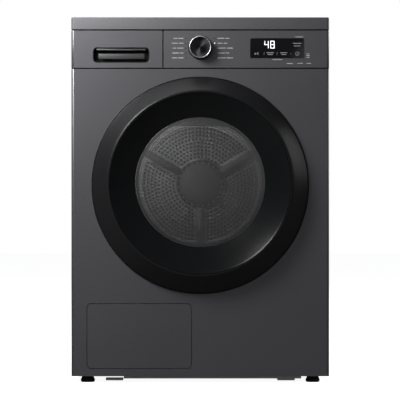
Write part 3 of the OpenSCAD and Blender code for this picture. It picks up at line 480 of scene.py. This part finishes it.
def glowing(name, colour, strength):
    """Marks that give off a little light: lit figures glow as lamps do, and printed marks get a faint
    painted glow.
    """
    mat, tree, shader = new_material(name)
    soft = noise(tree, coordinates(tree), 400.0)
    for socket in ("Base Color", "Emission Color"):
        link(tree, tinted(tree, soft, [c * 0.9 for c in colour], colour), shader.inputs[socket])
    shader.inputs["Emission Strength"].default_value = strength
    shader.inputs["Roughness"].default_value = 0.5
    return mat


def spangled(name, colour):
    """Hot-dipped zinc: crystals a few millimetres wide, of slightly different tone."""
    mat, tree, shader = new_material(name)
    cells = tree.nodes.new("ShaderNodeTexVoronoi")
    cells.inputs["Scale"].default_value = 190.0
    link(tree, coordinates(tree), cells.inputs["Vector"])
    split = tree.nodes.new("ShaderNodeSeparateColor")
    link(tree, cells.outputs["Color"], split.inputs["Color"])
    tone = split.outputs["Red"]
    link(tree, tinted(tree, tone, [c * 0.93 for c in colour], [c * 1.07 for c in colour]),
         shader.inputs["Base Color"])
    link(tree, spread(tree, tone, 0.36, 0.48), shader.inputs["Roughness"])
    shader.inputs["Metallic"].default_value = 0.9
    bumped(tree, shader, noise(tree, coordinates(tree), 500.0), 0.06)
    return mat


def spun(name, colour):
    """Metal face turned on a lathe: grooves around the Y axis of the piece."""
    mat, tree, shader = new_material(name)
    rings = tree.nodes.new("ShaderNodeTexWave")
    rings.wave_type = "RINGS"
    rings.rings_direction = "Y"
    rings.inputs["Scale"].default_value = 900.0
    rings.inputs["Distortion"].default_value = 0.4
    link(tree, coordinates(tree), rings.inputs["Vector"])
    tangent = tree.nodes.new("ShaderNodeTangent")
    tangent.direction_type = "RADIAL"
    tangent.axis = "Y"
    link(tree, tangent.outputs["Tangent"], shader.inputs["Tangent"])
    link(tree, tinted(tree, rings.outputs["Fac"], [c * 0.85 for c in colour],
                      [c * 1.15 for c in colour]), shader.inputs["Base Color"])
    shader.inputs["Metallic"].default_value = 1.0
    shader.inputs["Roughness"].default_value = 0.32
    shader.inputs["Anisotropic"].default_value = 0.85
    bumped(tree, shader, rings.outputs["Fac"], 0.05)
    return mat


def woven(name, colour):
    """Fine square mesh cloth."""
    mat, tree, shader = new_material(name)
    height = None
    for direction in ("X", "Z"):
        wave = tree.nodes.new("ShaderNodeTexWave")
        wave.bands_direction = direction
        wave.inputs["Scale"].default_value = 350.0
        link(tree, coordinates(tree), wave.inputs["Vector"])
        if height is None:
            height = wave.outputs["Fac"]
        else:
            both = tree.nodes.new("ShaderNodeMath")
            both.operation = "MAXIMUM"
            link(tree, height, both.inputs[0])
            link(tree, wave.outputs["Fac"], both.inputs[1])
            height = both.outputs["Value"]
    gaps = [c * 0.35 for c in colour]
    link(tree, tinted(tree, height, gaps, colour), shader.inputs["Base Color"])
    shader.inputs["Roughness"].default_value = 0.7
    bumped(tree, shader, height, 0.5, 0.0003)
    return mat


def make_materials():
    """Every finish by its name; colours are linear red, green and blue."""
    m = {}
    m["cabinet_grey"] = flake_paint("cabinet_grey", (0.150, 0.148, 0.160))
    m["top_grey"] = flake_paint("top_grey", (0.146, 0.144, 0.154), 0.58)
    m["panel_grey"] = flake_paint("panel_grey", (0.150, 0.148, 0.160), 0.44)
    m["bezel_grey"] = surface("bezel_grey", (0.012, 0.012, 0.013), rough=0.34, grain=1600,
                              depth=0.05, tone=0.04, Specular_IOR_Level=0.26)
    m["piano_black"] = surface("piano_black", (0.0075, 0.0080, 0.0085), rough=0.24, grain=500,
                               depth=0.01, rough_spread=0.02, Specular_IOR_Level=0.11)
    m["window_glass"] = see_through("window_glass", (0.014, 0.014, 0.015), 0.55, 0.29, 1.0, 2.1)
    # Painted highlight: a lighter, less clear copy of the bowl glass for its moulded rings
    m["bowl_glass_painted_highlight"] = see_through("bowl_glass_painted_highlight", (0.30, 0.30, 0.30), 0.40, 0.12)
    m["bowl_glass"] = see_through("bowl_glass", (0.05, 0.052, 0.052), 0.07)
    m["display_black"] = surface("display_black", (0.006, 0.006, 0.0065), rough=0.12, grain=300,
                                 depth=0.01, rough_spread=0.02, Coat_Weight=0.4, Coat_Roughness=0.08)
    m["light_lens"] = surface("light_lens", (0.020, 0.020, 0.021), rough=0.35, grain=1500)
    m["knob_chrome"] = surface("knob_chrome", (0.86, 0.86, 0.87), metallic=1.0, rough=0.36,
                               grain=700, depth=0.02, rough_spread=0.03)
    m["galvanised"] = spangled("galvanised", (0.42, 0.43, 0.44))
    m["drum_steel"] = surface("drum_steel", (0.52, 0.52, 0.51), metallic=1.0, rough=0.32,
                              grain=260, depth=0.06, stretch=(8, 0.5, 8), rough_spread=0.08)
    m["black_plastic"] = surface("black_plastic", (0.010, 0.010, 0.0105), rough=0.5, grain=1400)
    m["dark_plastic"] = surface("dark_plastic", (0.060, 0.060, 0.063), rough=0.52, grain=1200)
    m["grey_plastic"] = surface("grey_plastic", (0.22, 0.22, 0.23), rough=0.5, grain=1200)
    m["grip_grey"] = surface("grip_grey", (0.085, 0.084, 0.088), rough=0.45, grain=1200)
    m["grip_plate"] = surface("grip_plate", (0.050, 0.050, 0.053), rough=0.5, grain=1200)
    m["white_plastic"] = surface("white_plastic", (0.70, 0.70, 0.68), rough=0.42, grain=1100)
    m["tank_plastic"] = surface("tank_plastic", (0.50, 0.54, 0.57), rough=0.34, grain=420,
                                depth=0.03, Subsurface_Weight=0.2, Transmission_Weight=0.15)
    m["rubber"] = surface("rubber", (0.012, 0.012, 0.012), rough=0.68, grain=1800, depth=0.3)
    m["felt"] = surface("felt", (0.55, 0.50, 0.42), rough=0.95, grain=1500, depth=0.9,
                        Sheen_Weight=0.4)
    m["fin_aluminium"] = surface("fin_aluminium", (0.72, 0.73, 0.74), metallic=1.0, rough=0.36,
                                 grain=500)
    m["copper"] = surface("copper", (0.72, 0.36, 0.20), metallic=1.0, rough=0.28, grain=300,
                          tone=0.16, mottle=40)
    m["motor_paint"] = surface("motor_paint", (0.022, 0.022, 0.024), rough=0.38, grain=900,
                               depth=0.25)
    m["steel"] = surface("steel", (0.42, 0.42, 0.42), metallic=1.0, rough=0.38, grain=500)
    # Painted shade: a darker copy of the drum steel for the drum's hub and bars
    m["drum_steel_painted_shade"] = surface("drum_steel_painted_shade", (0.24, 0.24, 0.236), metallic=1.0, rough=0.42,
                                grain=300)
    m["bright_steel"] = surface("bright_steel", (0.85, 0.85, 0.84), metallic=0.6, rough=0.5,
                                grain=500)
    m["circuit_green"] = surface("circuit_green", (0.015, 0.12, 0.045), rough=0.3, grain=300,
                                 tone=0.3, mottle=160)
    # Printed marks with a faint painted glow
    m["mark_grey_painted_glow"] = glowing("mark_grey_painted_glow", (0.42, 0.42, 0.43), 0.16)
    m["mark_white"] = glowing("mark_white", (0.90, 0.90, 0.92), 0.9)
    m["mark_dim"] = glowing("mark_dim", (0.30, 0.30, 0.31), 0.14)
    m["mark_soft"] = glowing("mark_soft", (0.40, 0.40, 0.41), 0.35)
    m["spun_dark"] = spun("spun_dark", (0.060, 0.060, 0.064))
    m["filter_mesh"] = woven("filter_mesh", (0.55, 0.56, 0.57))
    return m


# ---- CAD nodes that stay

def dress_nodes(m):
    """Every CAD node gets its slot's material, and softened edges where it shows."""
    slots = {s["node"]: s["material_slot"] for s in frame["record"]["subparts"]}
    soft = {name: width for width, names in SOFT_EDGES.items() for name in names}
    for name, obj in nodes.items():
        obj.data.materials.clear()
        obj.data.materials.append(m[slots[name]])
        if name in soft:
            weld = obj.modifiers.new("weld", "WELD")
            weld.merge_threshold = 1e-5
            bevel = obj.modifiers.new("edge", "BEVEL")
            bevel.width = soft[name] * MM
            bevel.segments = 2
            bevel.limit_method = "ANGLE"
            bevel.angle_limit = math.radians(40)
            bevel.harden_normals = True
            bevel.use_clamp_overlap = True


# ---- worktop and control panel

def make_worktop(m):
    """A pressed lid with a rounded edge and a groove round its inlaid top."""
    low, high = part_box("worktop")
    w, d = high[0] - low[0], high[1] - low[1]
    cx, cy = (low[0] + high[0]) / 2, (low[1] + high[1]) / 2
    edge = 2.6 * MM
    corner = 6 * MM
    wall = 3 * MM
    deck = 6 * MM
    burr = 0.6 * MM

    def ring(inset, z):
        r = max(corner - inset, 0.8 * MM)
        return [(cx + px, cy + py, z) for px, py in round_outline(w - 2 * inset, d - 2 * inset, r)]

    rings = [ring(wall, high[2] - deck), ring(wall, low[2]), ring(burr, low[2]),
             ring(0, low[2] + burr)]
    for a in QUARTER:
        rings.append(ring(edge * (1 - math.cos(a)), high[2] - edge * (1 - math.sin(a))))
    # Groove between the frame and the inlaid top
    for inset, drop in ((14.0, 0.0), (14.3, 0.9), (15.1, 0.9), (15.6, 0.15)):
        rings.append(ring(inset * MM, high[2] - drop * MM))
    piece(stacked("worktop_lid", rings), "cabinet", "panel_grey", m["top_grey"], "worktop")


def knob_centre():
    """The x and z of the knob's axis."""
    low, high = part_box("knob")
    return (low[0] + high[0]) / 2, (low[2] + high[2]) / 2


def knob_skirt(x, z, ring_r, front, seat):
    """The side of the knob, with fine grips between two plain edges."""
    count, grip = 240, 0.35 * MM
    profile = [(ring_r - 0.2 * MM, seat, False), (ring_r - 0.5 * MM, seat - 2 * MM, True),
               (ring_r - 0.5 * MM, front + 6 * MM, True), (ring_r - 0.2 * MM, front + 4 * MM, False),
               (ring_r - 6 * MM, front + 4 * MM, False), (ring_r - 6 * MM, seat, False)]
    verts, faces = [], []
    for radius, y, ridged in profile:
        for i in range(count):
            a = TAU * i / count
            reach = radius + (grip if ridged and i % 4 < 2 else 0)
            verts.append((x + reach * math.sin(a), y, z + reach * math.cos(a)))
    for k in range(len(profile)):
        here, after = k * count, (k + 1) % len(profile) * count
        for i in range(count):
            j = (i + 1) % count
            faces.append((here + i, here + j, after + j, after + i))
    return sharpen(outward(mesh_piece("knob_skirt", verts, faces)), 25)


def make_knob(m):
    """The foot, the gripped skirt, a chrome ring and a dark spun face."""
    low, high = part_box("knob")
    x, z = knob_centre()
    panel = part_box("control_fascia")[0][1]
    front = low[1]
    seat = panel - 4 * MM
    r = (high[0] - low[0]) / 2
    ring_r = r - 2.6 * MM
    shaft_r = 4 * MM
    foot = turned("knob_foot", [(r - 8 * MM, panel - 0.4 * MM, z), (r - 0.5 * MM, panel - 0.4 * MM, z),
                                (r, panel - 1 * MM, z), (r - 0.3 * MM, panel - 2.6 * MM, z),
                                (r - 1.6 * MM, seat, z), (r - 8 * MM, seat, z)], 128, x)
    skirt = knob_skirt(x, z, ring_r, front, seat)
    shaft = turned("knob_shaft_core", [(shaft_r, seat, z), (shaft_r, high[1], z)], 32, x, closed=False)
    body = joined("knob_body", [foot, skirt, shaft])
    piece(body, "knob", "black_plastic", m["black_plastic"], "knob")

    # The ring is rounded to the front over half a turn
    roll = 1.1 * MM
    face_r = ring_r - 2.4 * MM
    edge = [(ring_r, front + 4.4 * MM, z), (ring_r + 0.1 * MM, front + 2.2 * MM, z)]
    for i in range(7):
        a = math.radians(30 * i)
        edge.append((ring_r - roll + roll * math.cos(a), front + roll - roll * math.sin(a), z))
    edge += [(face_r, front + 3.2 * MM, z), (face_r, front + 4.4 * MM, z)]
    piece(turned("knob_ring", edge, 128, x), "knob", "knob_chrome", m["knob_chrome"])

    # The face is centred on its own origin so that its grooves turn about the knob's axis
    centre_r = 0.01 * MM
    face = turned("knob_face", [(centre_r, 1.6 * MM, 0), (face_r * 0.6, 1.4 * MM, 0),
                                (face_r * 0.9, 0.7 * MM, 0), (face_r, 0.2 * MM, 0),
                                (face_r, 3 * MM, 0), (centre_r, 3 * MM, 0)], 128)
    face.location = (x, front + 1.4 * MM, z)
    piece(face, "knob", "knob_chrome", m["spun_dark"])


def light_heights():
    """Heights of the rows of lights, from the top."""
    low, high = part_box("indicator_lights")
    pitch = (high[2] - low[2] - 2 * LIGHT_R) / (LIGHT_ROWS - 1)
    return [high[2] - LIGHT_R - i * pitch for i in range(LIGHT_ROWS)]


def make_lights(m):
    """One light of the ten is lit: the second on the right."""
    x = knob_centre()[0]
    low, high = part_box("indicator_lights")
    r = LIGHT_R
    half = (high[0] - low[0]) / 2 - r
    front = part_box("control_fascia")[0][1]
    dim, lit = [], []
    for side in (-1, 1):
        for i, pz in enumerate(light_heights()):
            dot = turned("dot", [(0.02 * MM, front - 0.3 * MM, pz), (r * 0.6, front - 0.28 * MM, pz),
                                 (r * 0.95, front - 0.1 * MM, pz), (r, front + 0.3 * MM, pz),
                                 (r, front + 6 * MM, pz), (0.02 * MM, front + 6 * MM, pz)], 24,
                         x + side * half)
            (lit if side > 0 and i == 1 else dim).append(dot)
    piece(joined("indicator_dots", dim), "cabinet", "light_lens", m["light_lens"], "indicator_lights")
    piece(joined("indicator_lit", lit), "cabinet", "light_lens", m["mark_white"])


def make_panel_marks(m):
    """Short plain bars where a printed panel would carry its labels."""
    x = knob_centre()[0]
    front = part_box("control_fascia")[0][1]
    bar_h, gap = 1.9 * MM, 2.2
    # Lengths of each row's bars in millimetres, from the knob outwards
    left = ((12, 9), (11, 14), (15, 8), (8, 16), (13, 11))
    right = ((16, 10), (12, 9), (20, 14), (17, 8), (19, 15))
    bars = []
    for i, pz in enumerate(light_heights()):
        for side, reach, words in ((-1, 39, left[i]), (1, 40, right[i])):
            start = x + side * reach * MM
            for w in words:
                bars.append(pill(start + side * w * MM / 2, pz, w * MM, bar_h))
                start += side * (w + gap) * MM
    marks = flat_shapes("panel_marks", bars, front)
    piece(marks, "cabinet", "light_lens", m["mark_grey_painted_glow"])


def segment_digit(digit, x, z, w, h, t):
    """Bars of a seven-segment figure centred on x and z."""
    on = {"4": "bcfg", "8": "abcdefg"}[digit]
    at = {"a": (0, h / 2, 1), "d": (0, -h / 2, 1), "g": (0, 0, 1), "b": (w / 2, h / 4, 0),
          "c": (w / 2, -h / 4, 0), "e": (-w / 2, -h / 4, 0), "f": (-w / 2, h / 4, 0)}
    bars = []
    for key in on:
        dx, dz, flat = at[key]
        long = (w if flat else h / 2) + t * 0.72
        bars.append(pill(x + dx, z + dz, long if flat else t, t if flat else long))
    return bars


def make_display(m):
    """The glass with its figures, and plain marks for its keys and beside it."""
    low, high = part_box("display_glass")
    x, z = (low[0] + high[0]) / 2, (low[2] + high[2]) / 2
    w, h = high[0] - low[0], high[2] - low[2]
    glass = tablet("display_window", x, z, w, h, 3 * MM, low[1], high[1], 0.5 * MM)
    piece(glass, "cabinet", "display_black", m["display_black"], "display_glass")
    y = low[1]

    def at(px, pz):
        """A place in millimetres from the lower left corner of the glass."""
        return low[0] + px * MM, low[2] + pz * MM

    def bars_at(rows, thick):
        """Bars of given lengths, each centred on its own place."""
        return [pill(*at(px, pz), length * MM, thick * MM) for px, pz, length in rows]

    figure_w, figure_h, figure_t, figure_pitch = 8.0 * MM, 16.0 * MM, 1.9 * MM, 13.6
    bright = []
    for k, digit in enumerate("48"):
        dx, dz = at(38 + figure_pitch * k, 31.5)
        bright += segment_digit(digit, dx, dz, figure_w, figure_h, figure_t)
    # Play and pause, two-line key labels, the lines between the keys, and labels beside the figures
    key_z, bar_t = 10.5, 1.7
    px, pz = at(12, key_z)
    dim = [[(px - 1.5 * MM, pz - 3 * MM), (px + 2.8 * MM, pz), (px - 1.5 * MM, pz + 3 * MM)]]
    dim += [pill(px + dx * MM, pz, 1.1 * MM, 6 * MM) for dx in (4.4, 6.6)]
    dim += bars_at([(kx, kz, kw) for kx in (46.4, 77.6) for kz, kw in ((12.6, 17), (8.6, 12))], bar_t)
    dim += bars_at([(kx, key_z, 0.5) for kx in (32.3, 62.5, 94.6)], 7)
    dim += bars_at([(109, 34.5, 20), (109, 28.5, 15)], bar_t)
    piece(flat_shapes("display_figures", bright, y), "cabinet", "light_lens", m["mark_white"])
    piece(flat_shapes("display_labels", dim, y), "cabinet", "light_lens", m["mark_dim"])
    make_power_mark(m, *at(109.5, key_z), y)

    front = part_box("control_fascia")[0][1]
    words = [(114, 49.6, 19), (63, -3.3, 24), (92, -12.3, 15), (116, -12.0, 13), (136, -12.0, 11)]
    bars = bars_at(words, bar_t)
    cx, cz = at(134, 6)
    bars += [pill(cx, cz + dz * MM, 8 * MM, 1.6 * MM) for dz in (-4, 0, 4)]
    piece(flat_shapes("display_marks", bars, front), "cabinet", "light_lens", m["mark_grey_painted_glow"])


def make_power_mark(m, x, z, glass_y):
    """An open ring with a short stem, as power keys have."""
    ring_r, wire = 3.8 * MM, 0.35 * MM
    y = glass_y - 0.05 * MM
    angles = [math.radians(a) for a in range(40, 321, 10)]
    ring = [(x + ring_r * math.sin(a), y, z + ring_r * math.cos(a)) for a in angles]
    stem = [(x, y, z + 1.2 * MM), (x, y, z + 4.6 * MM)]
    power = joined("display_power", [rod("arc", ring, wire, 2), rod("stem", stem, wire, 2)])
    piece(power, "cabinet", "light_lens", m["mark_soft"])


def make_handle(m):
    """The black pocket in the tank's front, its lip, and the grey grip plate inside."""
    low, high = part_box("handle_pocket")
    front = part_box("tank_front")[0][1]
    x, z = (low[0] + high[0]) / 2, (low[2] + high[2]) / 2
    w, h = high[0] - low[0], high[2] - low[2]
    wall = 2 * MM
    corner = 10.3 * MM

    def ring(inset, y):
        outline = round_outline(w - 2 * inset, h - 2 * inset, max(corner - inset, 1 * MM), 10)
        return [(x + px, y, z + pz) for px, pz in outline]

    rings = [ring(0, high[1]), ring(0, front + 0.5 * MM), ring(0.4 * MM, front + 0.15 * MM),
             ring(1.2 * MM, front + 0.15 * MM), ring(1.9 * MM, front + 0.9 * MM),
             ring(wall + 0.3 * MM, front + 4 * MM),
             ring(wall + 1 * MM, high[1] - 5 * MM), ring(wall + 3 * MM, high[1] - wall)]
    cup = stacked("pocket_cup", rings)
    piece(cup, "tank", "black_plastic", m["black_plastic"], "handle_pocket")
    lip = block("pocket_lip", (low[0] + 9 * MM, front + 2 * MM, high[2] - 7 * MM),
                (high[0] - 9 * MM, front + 9 * MM, high[2] - 3.4 * MM), 0.8 * MM)
    piece(lip, "tank", "panel_grey", m["grip_grey"])
    plate = block("pocket_grip", (low[0] + 13 * MM, front + 8 * MM, low[2] + 9.2 * MM),
                  (high[0] - 12 * MM, front + 12 * MM, low[2] + 21.8 * MM), 1.4 * MM)
    # Two stays hold the grip plate to the pocket's back
    stay_w = 6
    stays = [block("stay", (low[0] + px * MM, front + 11 * MM, low[2] + 11 * MM),
                   (low[0] + (px + stay_w) * MM, high[1] - 1 * MM, low[2] + 19 * MM), 0.8 * MM)
             for px in (22, 102)]
    piece(joined("pocket_grip_plate", [plate, *stays]), "tank", "panel_grey", m["grip_plate"])


# ---- door

def between(a, b, t):
    """The point at share t of the way from a to b."""
    return tuple(p + (q - p) * t for p, q in zip(a, b))


def curve_points(a, b, c, steps=6):
    """Quadratic curve from a to c, pulled towards b."""
    return [between(between(a, b, i / steps), between(b, c, i / steps), i / steps)
            for i in range(steps + 1)]


def ring_of(node):
    """Radius, front, back and height of the centre of a round node that faces the front."""
    low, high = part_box(node)
    return (high[0] - low[0]) / 2, low[1], high[1], (low[2] + high[2]) / 2


def make_bezel(m):
    """The outer ring: a rounded rim, a straight flank, and a crest that turns into the dish."""
    r, front, back, z = ring_of("door_bezel")
    dish_r, dish_front, _, dish_z = ring_of("door_dish")
    rim = (r, back - 9 * MM, z)
    crest = (dish_r + 3.7 * MM, front, dish_z)
    mouth = (dish_r + 0.9 * MM, dish_front + 0.3 * MM, dish_z)
    profile = [(r - 2.5 * MM, back, z), (r - 0.4 * MM, back, z), (r, back - 0.5 * MM, z)]
    profile += curve_points((r, rim[1] + 2 * MM, z), rim, between(rim, crest, 0.10))
    profile += [between(rim, crest, 0.3), between(rim, crest, 0.6)]
    profile += curve_points(between(rim, crest, 0.90), crest, mouth)
    profile += [(mouth[0] - 0.2 * MM, mouth[1] + 2.5 * MM, dish_z),
                (crest[0] - 1.5 * MM, front + 4 * MM, dish_z), (r - 4.5 * MM, rim[1] + 2 * MM, z)]
    bezel = turned("door_bezel_ring", profile, 256)
    piece(bezel, "door", "bezel_grey", m["bezel_grey"], "door_bezel")


def make_dish(m):
    """The gloss cone that sinks from the bezel's crest to the window."""
    r, front, back, z = ring_of("door_dish")
    glass_r, _, _, glass_z = ring_of("door_glass")
    foot = (glass_r + 1.7 * MM, back - 2.5 * MM, glass_z)
    lip = (r - 1.3 * MM, front + 0.4 * MM, z)
    profile = [(r, front + 3 * MM, z), (r, front + 0.5 * MM, z), (r - 0.4 * MM, front + 0.1 * MM, z),
               (r - 0.9 * MM, front + 0.1 * MM, z), lip]
    pull = between(lip, foot, 0.45)
    slope = curve_points(lip, (pull[0] - 1.5 * MM, pull[1] + 3.2 * MM, pull[2]), foot, 12)[1:]
    profile += slope[:-1] + [between(slope[-2], foot, 0.93), foot]
    profile += [(glass_r + 0.5 * MM, foot[1] + 0.5 * MM, glass_z),
                (glass_r + 0.3 * MM, foot[1] + 1.2 * MM, glass_z),
                (glass_r + 0.3 * MM, back - 0.2 * MM, glass_z), (foot[0] + 2 * MM, back - 0.2 * MM, glass_z),
                (r - 3.5 * MM, front + 4.2 * MM, z)]
    cone = turned("door_dish_cone", profile, 256)
    piece(cone, "door", "piano_black", m["piano_black"], "door_dish")


def make_glass(m):
    """The crowned window, and the black band printed round the edge of its back."""
    r, front, back, z = ring_of("door_glass")
    rear = back - 1 * MM
    crown, crown_steps, crown_power = 4.5 * MM, 12, 3.2
    centre_r = 0.05 * MM
    band_w = 7 * MM
    profile = [(centre_r, rear, z), (r - 9 * MM, rear, z), (r, rear, z), (r, front + 1.2 * MM, z)]
    for i in range(crown_steps):
        share = 1 - i / crown_steps
        profile.append((r * share, front + 1 * MM - crown * (1 - share ** crown_power), z))
    profile.append((centre_r, front + 1 * MM - crown, z))
    lens = turned("door_glass_lens", profile, 192)
    piece(lens, "door", "window_glass", m["window_glass"], "door_glass")
    band_y0, band_y1 = back - 0.9 * MM, back + 0.6 * MM
    band = turned("door_glass_band", [(r - band_w, band_y0, z), (r, band_y0, z),
                                      (r, band_y1, z), (r - band_w, band_y1, z)], 192)
    piece(band, "door", "display_black", m["display_black"])


def make_bowl(m):
    """Pressed glass: a flat rim, a wall with moulded steps, and a round bottom."""
    r, front, back, z = ring_of("door_bowl")
    t = 4 * MM
    rim_r, bottom_r, bend = r - 5 * MM, r - 16 * MM, 20 * MM
    centre_r = 0.05 * MM
    outer = [(r, front, z), (r, front + t - 0.5 * MM, z), (r - 0.5 * MM, front + t, z),
             (rim_r, front + t, z), (rim_r - 1.2 * MM, front + 12 * MM, z)]
    for a in QUARTER:
        outer.append((bottom_r - bend + bend * math.cos(a), back - bend + bend * math.sin(a), z))
    outer.append((centre_r, back, z))
    inner = [(centre_r, back - t, z)]
    for a in reversed(QUARTER):
        inner.append((bottom_r - bend + (bend - t) * math.cos(a),
                      back - bend + (bend - t) * math.sin(a), z))
    # Four moulded steps inside the wall
    steps, step = 5, 0.9 * MM
    y0, y1 = back - bend, front + 8 * MM
    for i in range(1, steps):
        y = y0 + (y1 - y0) * i / steps
        wall_r = bottom_r - t + (rim_r - bottom_r) * i / steps
        inner += [(wall_r - step, y, z), (wall_r + step, y - 0.8 * MM, z)]
    inner += [(rim_r - t, front + 2 * MM, z), (rim_r - t + 1 * MM, front, z)]
    bowl = turned("door_bowl_glass", outer + inner, 160)
    piece(bowl, "door", "bowl_glass", m["bowl_glass"], "door_bowl")
    # Two moulded rings, their glass painted lighter than the bowl's as a painted highlight where they catch
    # the light
    ring_points, ring_y = 120, front + 7 * MM
    ridges = []
    for ridge_r, wire in ((r - 29 * MM, 1.0 * MM), (r - 22 * MM, 0.7 * MM)):
        angles = [TAU * i / ring_points for i in range(ring_points)]
        loop = [(ridge_r * math.sin(a), ring_y, z + ridge_r * math.cos(a)) for a in angles]
        ridges.append(rod("ridge", loop, wire, 3, True))
    piece(joined("door_bowl_ridges", ridges), "door", "bowl_glass", m["bowl_glass_painted_highlight"])


# ---- drum

def drum_holes(z):
    """Three fields of round holes in rings about the drum's axis, with the spider's bars between."""
    hole_r, rings, first_r = 2.9 * MM, 9, 69 * MM
    ring_pitch, hole_pitch, bar_room = 9.4 * MM, 9.2 * MM, 20 * MM
    holes = []
    for third in range(3):
        for ring in range(rings):
            ring_r = first_r + ring_pitch * ring
            reach = math.radians(60) - bar_room / ring_r
            count = int(ring_r * 2 * reach / hole_pitch) + 1
            for i in range(count):
                a = third * TAU / 3 + (-reach + 2 * reach * i / max(count - 1, 1))
                holes.append(disc(ring_r * math.sin(a), z + ring_r * math.cos(a), hole_r, 10))
    return holes


def drum_spider(y0, z, rim_r):
    """The hub and its three bars, which stand out in front of the plate at y0."""
    hub_r, centre_r, bar_half = 62 * MM, 0.05 * MM, 10 * MM
    hub = turned("drum_hub", [(centre_r, y0 - 2 * MM, z), (30 * MM, y0 - 2.2 * MM, z),
                              (50 * MM, y0 - 2 * MM, z), (60 * MM, y0 - 1 * MM, z),
                              (hub_r, y0 + 0.3 * MM, z), (hub_r, y0 + 8 * MM, z),
                              (centre_r, y0 + 8 * MM, z)], 96)
    bars = []
    for k in range(3):
        a = math.radians(60 + 120 * k)
        bar = block("bar", (-bar_half, y0 - 1.6 * MM, 60 * MM),
                    (bar_half, y0 + 6 * MM, rim_r - 30 * MM), 1.2 * MM)
        bar.data.transform(Matrix.Translation((0, 0, z)) @ Matrix.Rotation(a, 4, "Y"))
        bars.append(bar)
    return joined("drum_spider", [hub, *bars])


def drum_studs(y0, z):
    """Rivet heads round the hub."""
    count, ring_r, centre_r = 24, 56 * MM, 0.03 * MM
    studs = []
    for i in range(count):
        a = TAU * (i + 0.5) / count
        stud_z = z + ring_r * math.cos(a)
        studs.append(turned("stud", [(centre_r, y0 - 3.6 * MM, stud_z), (1.7 * MM, y0 - 3.3 * MM, stud_z),
                                     (2.8 * MM, y0 - 1.5 * MM, stud_z), (centre_r, y0 - 1 * MM, stud_z)],
                            12, ring_r * math.sin(a)))
    return joined("drum_studs", studs)


def make_drum_back(m):
    """The pierced plate with its spider and studs, a dark ring of painted shade behind the holes, and the
    shaft.
    """
    low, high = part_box("drum_back")
    r = (high[0] - low[0]) / 2
    z = (low[2] + high[2]) / 2
    y0 = low[1]
    plate_t = 1.5 * MM
    plate = pierced("drum_plate", [disc(0, z, r, 160), *drum_holes(z)], y0, y0 + plate_t, 0.15 * MM)
    spider = drum_spider(y0, z, r)
    piece(plate, "drum", "drum_steel", m["drum_steel"], "drum_back")
    # The spider is of drum steel, given a darker colour as painted shade
    piece(spider, "drum", "drum_steel", m["drum_steel_painted_shade"])
    # The ring isn't a part: it is painted shade, a dark sheet that keeps the inside of the cabinet dark
    # behind the holes
    inner_r, outer_r = 64 * MM, 150 * MM
    shade_y0, shade_y1 = y0 + 6.5 * MM, y0 + 7.5 * MM
    shade = turned("drum_shade", [(inner_r, shade_y0, z), (outer_r, shade_y0, z),
                                  (outer_r, shade_y1, z), (inner_r, shade_y1, z)], 96)
    # The dark_plastic finish here paints shade; the ring stands for no plastic part
    piece(shade, "drum", "drum_steel", m["dark_plastic"])
    piece(drum_studs(y0, z), "drum", "drum_steel", m["bright_steel"])
    shaft_r, shaft_y0 = 12 * MM, y0 + 7 * MM
    shaft = turned("drum_shaft", [(shaft_r, shaft_y0, z), (shaft_r, high[1] - 1 * MM, z),
                                  (11 * MM, high[1], z), (0.05 * MM, high[1], z),
                                  (0.05 * MM, shaft_y0, z)], 48)
    piece(shaft, "drum", "drum_steel", m["steel"])


def make_filter_mesh(m):
    """Three windows of cloth on each face of the lint filter."""
    low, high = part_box("lint_filter")
    cx = (low[0] + high[0]) / 2
    pitch, half_w, cloth_t = 53 * MM, 23.4 * MM, 0.4 * MM
    foot, head = low[2] + 7.5 * MM, low[2] + 86.4 * MM
    sheets = []
    for y in (low[1] + 0.7 * MM, high[1] - 1.1 * MM):
        for i in (-1, 0, 1):
            x = cx + pitch * i
            sheets.append(block("sheet", (x - half_w, y, foot),
                                (x + half_w, y + cloth_t, head), 0.1 * MM))
    piece(joined("filter_sheets", sheets), "cabinet", "white_plastic", m["filter_mesh"])


# ---- put together

def main():
    make_camera()
    make_floor()
    make_surround()
    for lamp in LAMPS:
        make_lamp(*lamp)
    m = make_materials()
    dress_nodes(m)
    make_worktop(m)
    make_knob(m)
    make_lights(m)
    make_panel_marks(m)
    make_display(m)
    make_handle(m)
    make_bezel(m)
    make_dish(m)
    make_glass(m)
    make_bowl(m)
    make_drum_back(m)
    make_filter_mesh(m)


main()
